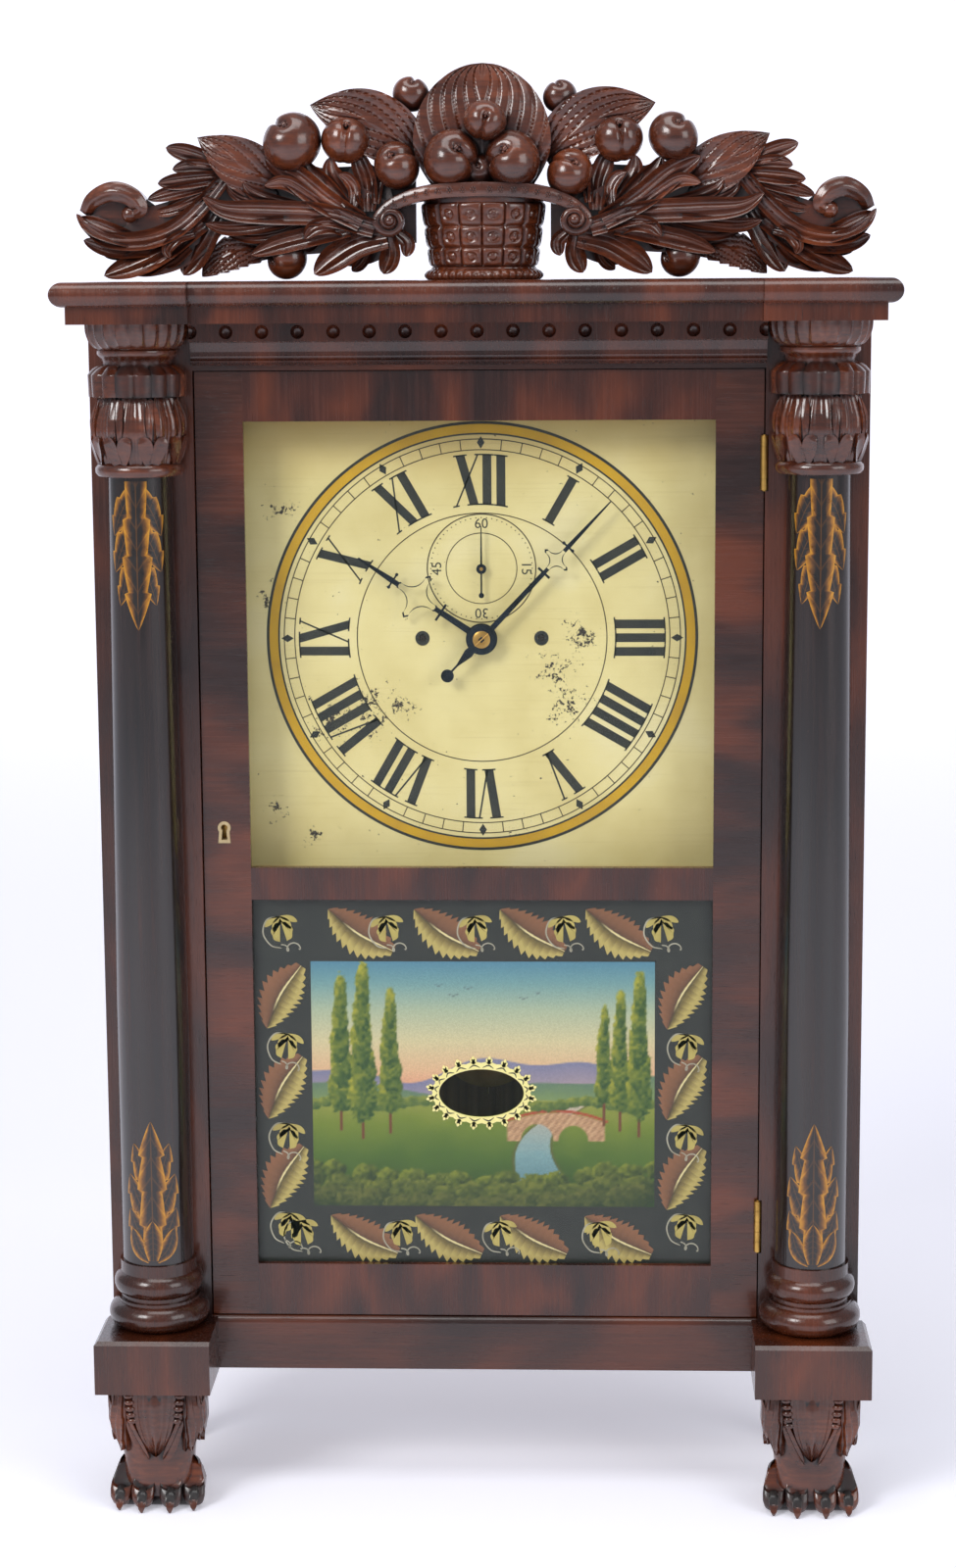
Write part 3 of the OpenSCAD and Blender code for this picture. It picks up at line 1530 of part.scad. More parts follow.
module pendulum() {
    spring_l = 18;
    bob_z = pivot_z - pendulum_l;
    rod_r = 1;
    color("gold") {
        translate([-0.2, pendulum_y - 2, pivot_z - spring_l]) cube([0.4, 4, spring_l]);
        rod_y(0, pivot_z, pendulum_y - 2, pendulum_y + 2, roll_r);
        translate([0, pendulum_y, bob_z - bob_r - 6])
            cylinder(r = rod_r, h = pendulum_l - spring_l + bob_r + 8, $fn = fine);
        intersection() {
            rod_y(0, bob_z, pendulum_y - bob_t / 2, pendulum_y + bob_t / 2, bob_r);
            for (s = [-1, 1])
                translate([0, pendulum_y + s * (lens_r() - bob_t / 2), bob_z])
                    sphere(r = lens_r(), $fn = fine);
        }
    }
}

// The radius of the domed faces of the bob
function lens_r() = (pow(bob_r, 2) + pow(bob_t / 2, 2)) / bob_t;

// Weights, cords and pulleys

module weight(s) {
    top = weight_z + weight_h;
    color([0.2, 0.2, 0.2])
        translate([s * weight_x, cord_y, 0]) {
            translate([0, 0, weight_z])
                rotate_extrude($fn = fine)
                polygon([
                    [0, 0], [weight_r - 2, 0], [weight_r, 2], [weight_r, weight_h - 8],
                    [weight_r - 6, weight_h - 2], [5, weight_h], [0, weight_h]
                ]);
            translate([0, 0, top + eye_r - 1])
                rotate([90, 0, 0])
                rotate_extrude($fn = fine)
                translate([eye_r, 0]) circle(r = eye_wire_r, $fn = fine);
        }
}

module weight_time() { weight(1); }

module weight_strike() { weight(-1); }

eye_top_z = weight_z + weight_h + 2 * eye_r - 1 + eye_wire_r;

module cord_drop(s) {
    color("olive")
        translate([s * weight_x, cord_y, eye_top_z + joint_fit])
        cylinder(r = cord_r, h = pulley_z - eye_top_z - joint_fit, $fn = fine);
}

module cord_drop_time() { cord_drop(1); }

module cord_drop_strike() { cord_drop(-1); }

// A ring of a cord's tube at a point of its route in the X-Z plane, square to direction a
function cord_ring(p, a, sides = 8) = [
    for (i = [0:sides - 1])
        let (b = 360 / sides * i)
        [p[0] - sin(a) * cos(b) * cord_r, sin(b) * cord_r, p[1] + cos(a) * cos(b) * cord_r]
];

// Each cord runs up from its drum, tangent to drum and pulley, and over the pulley
module cord_runs() {
    lay_drum = drum_r + cord_gap + cord_r;
    lay_pulley = pulley_r + cord_gap + cord_r;
    drum_z = dial_z - 0.5;
    dx = pulley_x - winding_x;
    dz = pulley_z - drum_z;
    reach = sqrt(pow(dx, 2) + pow(dz, 2));
    slope = atan2(dz, dx) + asin((lay_pulley - lay_drum) / reach);
    steps = 8;
    turn = slope + 90;
    start = [winding_x - sin(slope) * lay_drum, drum_z + cos(slope) * lay_drum];
    color("olive")
        both_sides()
        translate([0, cord_y, 0])
        skin([
            cord_ring(start, slope),
            for (i = [0:steps])
                let (a = slope - turn * i / steps)
                cord_ring([pulley_x - sin(a) * lay_pulley, pulley_z + cos(a) * lay_pulley], a)
        ]);
}

module pulley(s) {
    half = 4;
    color("peru")
        translate([s * pulley_x, cord_y, pulley_z])
        rotate([90, 0, 0]) {
            difference() {
                cylinder(r = sheave_r, h = 2 * half, center = true, $fn = fine);
                rotate_extrude($fn = fine)
                    translate([pulley_r + 3, 0]) circle(r = 3, $fn = fine);
            }
            cylinder(r = pulley_axle_r, h = 26, center = true, $fn = fine);
        }
}

module pulley_time() { pulley(1); }

module pulley_strike() { pulley(-1); }

case_side_left();
case_side_right();
case_bottom();
case_top();
backboard();
front_stile_left();
front_stile_right();
face_rails();
frieze_moulding();
cornice_front();
cornice_corner_left();
cornice_corner_right();
crest_carving();
column_left();
column_right();
capital_left();
capital_right();
column_bases();
plinth_blocks();
foot_left();
foot_right();
rear_feet();
movement_supports();
dial();
hinge_leaves_case();
front_plate();
back_plate();
bell();
cord_runs();
door_stile_hinge();
door_stile_lock();
door_top_rail();
door_middle_rail();
door_bottom_rail();
upper_glass();
tablet_glass();
glazing_beads();
lock_case();
escutcheon();
hinge_leaves_door();
lock_bolt();
minute_hand();
hour_hand();
motion_wheel();
seconds_hand();
escape_wheel();
third_wheel();
centre_wheel();
great_wheel();
drum_time();
drum_strike();
weight_time();
weight_strike();
cord_drop_time();
cord_drop_strike();
pulley_time();
pulley_strike();
pendulum();
verge();
hammer();
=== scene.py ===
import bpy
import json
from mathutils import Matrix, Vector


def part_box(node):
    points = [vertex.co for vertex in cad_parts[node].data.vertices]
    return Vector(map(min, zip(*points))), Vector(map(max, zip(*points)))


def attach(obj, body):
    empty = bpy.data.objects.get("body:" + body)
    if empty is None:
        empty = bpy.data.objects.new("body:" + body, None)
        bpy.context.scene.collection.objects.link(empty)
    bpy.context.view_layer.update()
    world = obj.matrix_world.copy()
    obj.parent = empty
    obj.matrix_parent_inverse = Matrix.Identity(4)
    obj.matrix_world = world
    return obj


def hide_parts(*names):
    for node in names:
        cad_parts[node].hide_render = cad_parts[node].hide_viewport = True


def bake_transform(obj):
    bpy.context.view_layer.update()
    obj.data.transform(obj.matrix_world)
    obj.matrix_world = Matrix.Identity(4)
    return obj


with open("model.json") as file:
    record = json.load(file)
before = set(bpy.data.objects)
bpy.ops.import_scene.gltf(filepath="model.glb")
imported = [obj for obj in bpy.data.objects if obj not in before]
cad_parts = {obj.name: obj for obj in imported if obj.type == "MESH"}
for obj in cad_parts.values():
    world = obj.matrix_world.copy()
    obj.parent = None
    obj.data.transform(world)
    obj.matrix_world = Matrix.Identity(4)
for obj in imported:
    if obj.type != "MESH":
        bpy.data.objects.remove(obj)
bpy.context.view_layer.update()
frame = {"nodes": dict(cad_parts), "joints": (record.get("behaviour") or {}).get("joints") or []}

import json
import math

import bmesh
import bpy
import numpy as np
from mathutils import Matrix, Vector
from mathutils.bvhtree import BVHTree

# Sizes here are in millimetres and become metres where a mesh is made
MM = 0.001
scene = bpy.context.scene
scene.view_settings.view_transform = "Standard"


def corners(node):
    """The lowest and highest corner of a node, in millimetres."""
    low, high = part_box(node)
    return np.array(low) / MM, np.array(high) / MM


def joint_place(name):
    """Where a joint's axis passes, in millimetres."""
    return [np.array(j["pos_m"]) / MM for j in frame["joints"] if j["name"] == name][0]


# Places taken from the frame
dial_y = corners("dial")[0][1]
dial_z = joint_place("minute_turn")[2]
seconds_z = joint_place("seconds_turn")[2]
shaft_low, shaft_high = corners("column_right")
capital_low, capital_high = corners("capital_right")
foot_low, foot_high = corners("foot_right")
pane_low, pane_high = corners("tablet_glass")
column_x = (shaft_low[0] + shaft_high[0]) / 2
shaft_foot_r = (shaft_high[0] - shaft_low[0]) / 2
shaft_top_r = 21
column_y = shaft_low[1] + shaft_foot_r
cornice_z = corners("cornice_front")[1][2]
WINDING = [joint_place(drum)[0] for drum in ("time_drum_turn", "strike_drum_turn")]


# Meshes

def round_angles(steps):
    """Equal turns once round, in radians."""
    return np.linspace(0, 2 * math.pi, steps, endpoint=False)


class Shape:
    """Collects closed solids, with marks on each point that a finish can read."""

    def __init__(self):
        self.points = []
        self.faces = []
        self.marks = []
        self.count = 0

    def add(self, points, faces, marks=None):
        points = np.asarray(points, float).reshape(-1, 3)
        if marks is None:
            marks = np.zeros((len(points), 3))
        self.points.append(points)
        self.marks.append(np.asarray(marks, float).reshape(-1, 3))
        self.faces += [[i + self.count for i in face] for face in faces]
        self.count += len(points)

    def skin(self, rings, marks=None, closed=False):
        """A tube through rings of points, capped at its ends, or joined into a loop."""
        rings = np.asarray(rings, float)
        rows, size = rings.shape[:2]
        faces = []
        for i in range(rows if closed else rows - 1):
            here, there = i * size, (i + 1) % rows * size
            faces += [[here + j, here + (j + 1) % size, there + (j + 1) % size, there + j]
                      for j in range(size)]
        if not closed:
            faces.append(list(range(size))[::-1])
            faces.append([(rows - 1) * size + j for j in range(size)])
        self.add(rings, faces, marks)

    def prism(self, outline, y_front, y_back):
        """A flat shape of the X-Z plane, from y_front back to y_back."""
        self.skin([[(x, y, z) for x, z in outline] for y in (y_front, y_back)])

    def annulus(self, x, z, inner, outer, y_front, y_back, steps=144):
        """A flat ring round a point of the X-Z plane."""
        section = [(inner, y_front), (outer, y_front), (outer, y_back), (inner, y_back)]
        rings = [[(x + r * math.sin(a), y, z + r * math.cos(a)) for r, y in section]
                 for a in round_angles(steps)]
        self.skin(rings, closed=True)

    def turned(self, profile, x, y, steps=64):
        """A solid of revolution about an upright axis; profile is a list of radius and height."""
        turn = round_angles(steps)
        rings = [[(x + r * math.sin(a), y - r * math.cos(a), z) for a in turn] for r, z in profile]
        self.skin(rings)


def mark_points(mesh, marks):
    """Writes its three marks, or its colour, on each point of a mesh."""
    layer = mesh.attributes.new("mark", "FLOAT_VECTOR", "POINT")
    layer.data.foreach_set("vector", np.asarray(marks, np.float32).ravel())


def put_in_scene(name, mesh, finish):
    """Makes an object of a mesh and its finish."""
    mesh.materials.append(finish)
    piece = bpy.data.objects.new(name, mesh)
    scene.collection.objects.link(piece)
    return piece


def make(name, shape, finish, body="root", smooth=40, stands_for=()):
    """Turns a shape into a piece that rides on a body, or on none yet."""
    mesh = bpy.data.meshes.new(name)
    points = np.vstack(shape.points) * MM
    mesh.from_pydata(points.tolist(), [], shape.faces)
    mark_points(mesh, np.vstack(shape.marks))
    work = bmesh.new()
    work.from_mesh(mesh)
    bmesh.ops.recalc_face_normals(work, faces=work.faces)
    work.to_mesh(mesh)
    work.free()
    mesh.shade_smooth()
    mesh.set_sharp_from_angle(angle=math.radians(smooth))
    piece = put_in_scene(name, mesh, finish)
    if body:
        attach(piece, body)
    if stands_for:
        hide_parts(*stands_for)
    return piece


def spline(points, count):
    """Points of a smooth curve through the given ones."""
    p = np.array(points, float)
    p = np.vstack([2 * p[0] - p[1], p, 2 * p[-1] - p[-2]])
    t = np.linspace(0, len(points) - 1, count)
    i = np.minimum(t.astype(int), len(points) - 2)
    f = (t - i)[:, None]
    a, b, c, d = p[i], p[i + 1], p[i + 2], p[i + 3]
    return 0.5 * (2 * b + (c - a) * f + (2 * a - 5 * b + 4 * c - d) * f**2 + (3 * b - a - 3 * c + d) * f**3)


def leaf(shape, path, width, surface, relief, back=-0.3, peak=0.5, root=0.3, tip=0.6, teeth=0, tooth=0.15,
         rows=20, cols=7, draw_in=1.0):
    """A closed leaf laid on a surface. path is its midrib in the surface's two coordinates, relief gives
    its height over the surface from the share along it, the share across it and its half width."""
    line = spline(path, rows)
    step = np.gradient(line, axis=0)
    length = np.linalg.norm(step, axis=1)
    step /= np.maximum(length, 1e-6)[:, None]
    side = np.stack([-step[:, 1], step[:, 0]], 1)
    u = np.concatenate([[0], np.cumsum(np.linalg.norm(np.diff(line, axis=0), axis=1))])
    u /= u[-1]
    swell = root + (1 - root) * np.sin(math.pi / 2 * np.clip(u / peak, 0, 1))
    fall = np.clip((u - peak) / (1 - peak), 0, 1)
    half = width / 2 * swell * np.maximum(1 - fall**2, 0) ** tip
    if teeth:
        half = half * (1 - tooth * np.modf(u * teeth)[0])
    thinnest = 0.15
    half = np.maximum(half, thinnest)
    v = np.linspace(-1, 1, cols)
    a = line[:, None, 0] + side[:, None, 0] * half[:, None] * v
    b = line[:, None, 1] + side[:, None, 1] * half[:, None] * v
    front = surface(a, b, relief(u[:, None], v[None, :], half[:, None]) + np.zeros_like(a))
    edge = np.array([1, -1]) * draw_in
    a_back = line[:, None, 0] + side[:, None, 0] * half[:, None] * edge
    b_back = line[:, None, 1] + side[:, None, 1] * half[:, None] * edge
    behind = surface(a_back, b_back, np.full_like(a_back, back))
    marks = np.zeros((rows, cols + 2, 3))
    marks[:, :, 0] = u[:, None]
    marks[:, :cols, 1] = v[None, :]
    marks[:, cols:, 1] = np.array([1, -1])
    shape.skin(np.concatenate([front, behind], axis=1), marks)


def level(lift):
    """The relief of a leaf that stands equally high all over."""
    return lambda u, v, half: lift


def flat(y):
    """The surface that faces the viewer at depth y."""
    return lambda a, b, lift: np.stack([a, y - lift, b], axis=-1)


def round_shaft(x, y, radius, unrolled=None):
    """The surface round an upright axis, whose first coordinate is the distance round it from the front."""
    def place(a, b, lift):
        r = radius(b)
        turn = a / (unrolled or r)
        return np.stack([x + (r + lift) * np.sin(turn), y - (r + lift) * np.cos(turn), b], axis=-1)
    return place


# Finishes

def linear(display):
    """Linear light for display values from 0 to 1."""
    light = ((np.clip(display, 0, 1) + 0.055) / 1.055) ** 2.4
    return np.where(display <= 0.04045, display / 12.92, light)


def rgb(red, green, blue):
    """A colour from its 0 to 255 display values."""
    return tuple(float(c) for c in linear(np.array([red, green, blue]) / 255)) + (1.0,)


class Finish:
    """Short calls that build a node material round one Principled shader."""

    def __init__(self, name, **values):
        self.material = bpy.data.materials.new(name)
        self.material.use_nodes = True
        self.tree = self.material.node_tree
        self.shader = self.tree.nodes["Principled BSDF"]
        self.place = self.add("TexCoord").outputs["Object"]
        for key, value in values.items():
            self.shader.inputs[key.replace("_", " ")].default_value = value

    def add(self, kind, inputs=None, **settings):
        node = self.tree.nodes.new("ShaderNode" + kind)
        for key, value in settings.items():
            setattr(node, key, value)
        for key, value in (inputs or {}).items():
            self.feed(node.inputs[key], value)
        return node

    def feed(self, socket, value):
        if isinstance(value, bpy.types.NodeSocket):
            self.tree.links.new(value, socket)
        else:
            socket.default_value = value

    def noise(self, across, along=None, axis="z", detail=4.0, roughness=0.55, distortion=0.0, shift=0.0):
        """Noise with so many spots a metre across an axis and along it."""
        along = across if along is None else along
        scale = [along if name == axis else across for name in "xyz"]
        mapped = self.add("Mapping", {"Vector": self.place, "Scale": scale, "Location": (shift,) * 3})
        return self.add("TexNoise", {"Vector": mapped.outputs[0], "Scale": 1.0, "Detail": detail,
                                     "Roughness": roughness, "Distortion": distortion}).outputs[0]

    def mark(self, index):
        """A mark on the points of a piece: 0 along a leaf or how shut in, 1 across a leaf."""
        vector = self.add("Attribute", attribute_name="mark").outputs["Vector"]
        return self.add("SeparateXYZ", {"Vector": vector}).outputs[index]

    def maths(self, operation, a, b=0.0, clamp=False):
        return self.add("Math", {0: a, 1: b}, operation=operation, use_clamp=clamp).outputs[0]

    def times(self, a, b):
        return self.maths("MULTIPLY", a, b)

    def plus(self, a, b, clamp=False):
        return self.maths("ADD", a, b, clamp)

    def ramp(self, factor, *stops):
        """A colour for a factor; each stop is its place and a colour."""
        node = self.add("ValToRGB", {"Fac": factor})
        elements = node.color_ramp.elements
        while len(elements) < len(stops):
            elements.new(0.5)
        for element, (place, colour) in zip(elements, stops):
            element.position = place
            element.color = colour
        return node.outputs[0]

    def span(self, value, low, high, to_low=0.0, to_high=1.0):
        """Maps low to high onto to_low to to_high, clamped."""
        return self.add("MapRange", {"Value": value, "From Min": low, "From Max": high,
                                     "To Min": to_low, "To Max": to_high}).outputs[0]

    def mix(self, factor, a, b, blend="MIX"):
        return self.add("Mix", {0: factor, 6: a, 7: b}, data_type="RGBA", blend_type=blend).outputs[2]

    def colour(self, value):
        self.feed(self.shader.inputs["Base Color"], value)

    def rough(self, value):
        self.feed(self.shader.inputs["Roughness"], value)

    def bump(self, height, distance, strength=1.0):
        """Raises the surface by height times distance, in metres."""
        node = self.add("Bump", {"Height": height, "Distance": distance, "Strength": strength})
        if self.shader.inputs["Normal"].is_linked:
            self.feed(node.inputs["Normal"], self.shader.inputs["Normal"].links[0].from_socket)
        self.feed(self.shader.inputs["Normal"], node.outputs[0])


def veneer(name, axis, shift, band, middle=rgb(62, 27, 14)):
    """Polished mahogany veneer whose grain runs along an axis, with bands of figure across it."""
    finish = Finish(name, Coat_Weight=0.4, Coat_Roughness=0.07, Coat_IOR=1.45)
    figure = finish.noise(band, band / 2.4, axis, detail=2, roughness=0.4, distortion=0.5, shift=shift)
    streaks = finish.noise(420, 14, axis, detail=4, shift=shift + 3)
    pores = finish.noise(1500, 70, axis, detail=2, shift=shift)
    tone = finish.plus(finish.times(figure, 0.84), finish.times(streaks, 0.16))
    colour = finish.ramp(tone, (0.34, rgb(36, 14, 8)), (0.5, middle), (0.68, rgb(98, 45, 22)))
    pore = finish.span(pores, 0.62, 0.74)
    finish.colour(finish.mix(finish.times(pore, 0.6), colour, rgb(20, 8, 5)))
    finish.rough(finish.span(streaks, 0.3, 0.7, 0.2, 0.32))
    finish.bump(finish.times(pore, -1.0), 0.00012, 0.5)
    finish.bump(finish.noise(60, 25, axis, detail=2, shift=shift), 0.0012, 0.25)
    return finish.material


def carved(name):
    """Carved and polished wood with painted shade: dark in its crevices by how shut in each point is, and
    redder and glossier on its open ridges.
    """
    finish = Finish(name, Coat_Weight=0.5, Coat_Roughness=0.14)
    grain = finish.noise(420, 30, "x", detail=5)
    patches = finish.noise(26, detail=3)
    crevice_shade = finish.mark(0)
    tone = finish.plus(finish.times(grain, 0.45), finish.times(patches, 0.55))
    open_wood = finish.ramp(tone, (0.36, rgb(58, 26, 15)), (0.52, rgb(86, 42, 24)), (0.66, rgb(118, 60, 33)))
    # Painted shade: the more a point is shut in by the carving round it, the darker its colour
    shade = finish.ramp(crevice_shade, (0.1, rgb(255, 248, 240)), (0.4, rgb(205, 180, 165)),
                        (0.65, rgb(120, 92, 78)), (0.92, rgb(52, 36, 28)))
    finish.colour(finish.mix(1.0, open_wood, shade, "MULTIPLY"))
    finish.rough(finish.span(crevice_shade, 0.2, 0.9, 0.24, 0.6))
    finish.bump(grain, 0.0004, 0.25)
    finish.bump(finish.noise(260, detail=3), 0.0008, 0.25)
    return finish.material


def soft_wood(name, axis, shift):
    """Plain sawn pine, browned with age."""
    finish = Finish(name)
    rings = finish.noise(160, 4, axis, detail=4, distortion=0.4, shift=shift)
    colour = finish.ramp(rings, (0.35, rgb(120, 82, 46)), (0.55, rgb(158, 112, 66)),
                         (0.7, rgb(178, 134, 84)))
    stain = finish.noise(7, detail=3, shift=shift + 5)
    finish.colour(finish.mix(finish.span(stain, 0.45, 0.75, 0.0, 0.5), colour, rgb(70, 46, 28)))
    finish.rough(finish.span(rings, 0.3, 0.7, 0.55, 0.75))
    finish.bump(rings, 0.0006, 0.5)
    return finish.material


def metal(name, colour, dull, roughness, wear=0.5):
    """Metal that has gone dull in patches."""
    finish = Finish(name, Metallic=1.0)
    patches = finish.noise(70, detail=4, shift=2)
    lines = finish.noise(1400, 90, detail=2)
    finish.colour(finish.mix(finish.span(patches, 0.42, 0.68, 0.0, wear), colour, dull))
    finish.rough(finish.span(patches, 0.35, 0.7, roughness, roughness + 0.22))
    finish.bump(lines, 0.00005, 0.4)
    return finish.material


# Places where the dial has flaked: across and up from the hands, and radius
FLAKED = ((-103, -54, 30), (-76, -50, 30), (-58, -46, 22), (50, -24, 24), (66, 0, 22), (58, -46, 26),
          (-134, 88, 16), (-142, -118, 16), (-116, -136, 14), (-146, 26, 14), (24, -136, 12))


def dial_ground():
    """Aged cream paint with a painted shadow of the case's top as a darker yellow band along the dial's top,
    faint brush lines and flaked spots.
    """
    finish = Finish("dial_cream", Coat_Weight=0.15, Coat_Roughness=0.25)
    height = finish.add("SeparateXYZ", {"Vector": finish.place}).outputs[2]
    cloud = finish.noise(14, detail=4, shift=1)
    colour = finish.ramp(cloud, (0.35, rgb(224, 208, 138)), (0.55, rgb(236, 222, 154)),
                         (0.7, rgb(240, 228, 168)))
    # Painted shadow: a darker yellow band over the top of the dial, uneven across, where the case's top
    # shades it
    top = finish.span(height, 0.695, 0.742)
    ring = finish.noise(9, 4, "x", detail=3, shift=4)
    top = finish.times(top, finish.span(ring, 0.3, 0.65, 0.3, 0.9))
    colour = finish.mix(top, colour, rgb(201, 168, 84))
    lines = finish.noise(700, 12, "x", detail=2)
    colour = finish.mix(finish.span(lines, 0.55, 0.8, 0.0, 0.16), colour, rgb(176, 150, 88))
    worn = None
    for x, z, radius in FLAKED:
        centre = (x * MM, dial_y * MM, (dial_z + z) * MM)
        gap = finish.add("VectorMath", {0: finish.place, 1: centre}, operation="DISTANCE").outputs["Value"]
        near = finish.span(gap, 0.0, radius * MM, 1.0, 0.0)
        worn = near if worn is None else finish.maths("MAXIMUM", worn, near)
    # Specks and chips are likelier near the worn places
    specks = finish.noise(480, detail=5, roughness=0.7, shift=7)
    chips = finish.noise(130, detail=3, shift=9)
    chance = finish.plus(finish.times(specks, 0.6), finish.times(chips, 0.4))
    chance = finish.plus(chance, finish.times(worn, 0.17))
    flake = finish.span(chance, 0.655, 0.675)
    stray = finish.span(finish.noise(330, detail=2, shift=12), 0.755, 0.775)
    finish.colour(finish.mix(finish.maths("MAXIMUM", flake, stray), colour, rgb(48, 38, 26)))
    finish.rough(finish.span(cloud, 0.3, 0.7, 0.42, 0.55))
    finish.bump(finish.maths("SUBTRACT", finish.times(lines, 0.3), flake), 0.0002, 0.4)
    return finish.material


def paint(name, colour, worn, roughness=0.4, wear=0.35):
    """Paint of one colour with small worn flecks."""
    finish = Finish(name)
    flecks = finish.noise(520, detail=4, roughness=0.7, shift=3)
    cloud = finish.noise(60, detail=2)
    shade = finish.mix(finish.span(cloud, 0.35, 0.7, 0.0, wear), colour, worn)
    finish.colour(finish.mix(finish.span(flecks, 0.66, 0.7), shade, worn))
    finish.rough(finish.span(flecks, 0.3, 0.7, roughness, roughness + 0.1))
    finish.bump(flecks, 0.0001, 0.3)
    return finish.material


def shaft_paint():
    """Nearly black old paint, brown where it has worn thin, under a glossy varnish."""
    finish = Finish("shaft_black", Coat_Weight=0.6, Coat_Roughness=0.06)
    streaks = finish.noise(240, 7, "z", detail=5, shift=2)
    cloud = finish.noise(12, 5, "z", detail=3)
    tone = finish.plus(finish.times(streaks, 0.5), finish.times(cloud, 0.5))
    colour = finish.ramp(tone, (0.4, rgb(14, 8, 6)), (0.55, rgb(30, 15, 10)), (0.7, rgb(58, 27, 16)))
    nicks = finish.noise(900, detail=3, shift=8)
    finish.colour(finish.mix(finish.span(nicks, 0.72, 0.76, 0.0, 0.7), colour, rgb(120, 80, 50)))
    finish.rough(finish.span(streaks, 0.3, 0.7, 0.18, 0.32))
    finish.bump(streaks, 0.0003, 0.3)
    return finish.material


def gilt():
    """Bronze powder stencilled over black: bright at the edge, dark towards the midrib, which is bright."""
    finish = Finish("gilt_stencil", Coat_Weight=0.5, Coat_Roughness=0.08)
    along, across = finish.mark(0), finish.maths("ABSOLUTE", finish.mark(1))
    cloud = finish.noise(160, detail=4)
    body = finish.plus(finish.times(across, 0.9), finish.times(cloud, 0.5))
    slant = finish.maths("SINE", finish.times(finish.plus(along, finish.times(across, 0.14)), 44.0))
    vein = finish.times(finish.span(slant, 0.8, 1.0), 0.16)
    rib = finish.span(across, 0.02, 0.06, 0.3, 0.0)
    gold = finish.plus(finish.span(body, 0.6, 1.2), finish.maths("MAXIMUM", vein, rib), clamp=True)
    finish.colour(finish.ramp(gold, (0.0, rgb(18, 12, 8)), (0.4, rgb(96, 58, 14)), (0.75, rgb(168, 110, 18)),
                              (1.0, rgb(198, 138, 26))))
    finish.rough(finish.span(cloud, 0.3, 0.7, 0.25, 0.4))
    return finish.material


def border_leaf_paint():
    """A stencilled leaf: yellow on one side of its midrib and copper on the other, shaded along the rib."""
    finish = Finish("border_leaf", Roughness=0.35)
    along, across = finish.mark(0), finish.mark(1)
    cloud = finish.noise(200, detail=3)
    side = finish.span(across, -0.02, 0.02)
    far = finish.plus(finish.maths("ABSOLUTE", across), finish.times(cloud, 0.25))
    yellow = finish.ramp(far, (0.1, rgb(60, 52, 34)), (0.45, rgb(128, 112, 62)), (0.85, rgb(184, 166, 96)))
    copper = finish.ramp(far, (0.1, rgb(78, 56, 40)), (0.5, rgb(120, 82, 56)), (1.0, rgb(136, 92, 62)))
    colour = finish.mix(side, copper, yellow)
    rib = finish.span(finish.maths("ABSOLUTE", across), 0.03, 0.07, 1.0, 0.0)
    rib = finish.times(rib, finish.span(along, 0.55, 0.75, 1.0, 0.0))
    finish.colour(finish.mix(rib, colour, rgb(222, 208, 150)))
    return finish.material


def marked_colour(name):
    """Paint whose colour is written on the points of the piece."""
    finish = Finish(name, Roughness=0.35)
    grain = finish.noise(900, detail=3)
    colour = finish.add("Attribute", attribute_name="mark").outputs["Vector"]
    shade = finish.ramp(grain, (0.3, rgb(232, 232, 232)), (0.7, rgb(255, 255, 255)))
    finish.colour(finish.mix(1.0, colour, shade, "MULTIPLY"))
    return finish.material


def glass():
    """Old clear glass with slight waves."""
    finish = Finish("pane_glass", Roughness=0.03, Alpha=0.035, IOR=1.5)
    finish.colour(rgb(120, 132, 124))
    finish.bump(finish.noise(14, 8, "x", detail=2), 0.002, 0.2)
    return finish.material


finish_upright = veneer("veneer_upright", "z", 0.0, 22)
finish_level = veneer("veneer_level", "x", 4.0, 20)
finish_crossband = veneer("veneer_crossband", "x", 9.0, 26)
finish_mould = veneer("veneer_moulding", "z", 15.0, 30, rgb(66, 28, 15))
finish_carved = carved("carved_mahogany")
finish_pine_up = soft_wood("pine_upright", "z", 0.0)
finish_pine_level = soft_wood("pine_level", "x", 3.0)
finish_dial = dial_ground()
finish_black = paint("dial_black", rgb(32, 36, 32), rgb(74, 70, 50), 0.35, 0.3)
finish_line = paint("dial_line", rgb(58, 48, 26), rgb(110, 92, 50), 0.4, 0.5)
finish_ring = paint("dial_gold", rgb(214, 168, 18), rgb(192, 148, 36), 0.4, 0.6)
finish_shaft = shaft_paint()
finish_gilt = gilt()
finish_brass = metal("old_brass", rgb(196, 156, 84), rgb(110, 78, 40), 0.3)
finish_steel = metal("grey_steel", rgb(150, 150, 150), rgb(80, 72, 64), 0.35)
finish_blued = metal("blued_steel", rgb(44, 52, 62), rgb(26, 26, 28), 0.32, wear=0.8)
finish_iron = metal("cast_iron", rgb(66, 62, 58), rgb(58, 38, 26), 0.55, wear=0.9)
finish_bone = paint("bone", rgb(196, 176, 134), rgb(140, 112, 76), 0.35, 0.5)
finish_cord = paint("cord", rgb(128, 106, 66), rgb(90, 70, 42), 0.85, 0.6)
finish_glass = glass()
finish_tablet_black = paint("tablet_black", rgb(38, 42, 38), rgb(52, 54, 48), 0.3, 0.5)
finish_border_leaf = border_leaf_paint()
finish_border_yellow = paint("border_yellow", rgb(190, 174, 96), rgb(158, 140, 74), 0.35, 0.7)
finish_tendril = paint("border_tendril", rgb(176, 172, 150), rgb(130, 126, 104), 0.35, 0.7)
finish_pale_gold = paint("pale_gold", rgb(250, 240, 160), rgb(236, 220, 130), 0.3, 0.5)
finish_picture = marked_colour("picture")

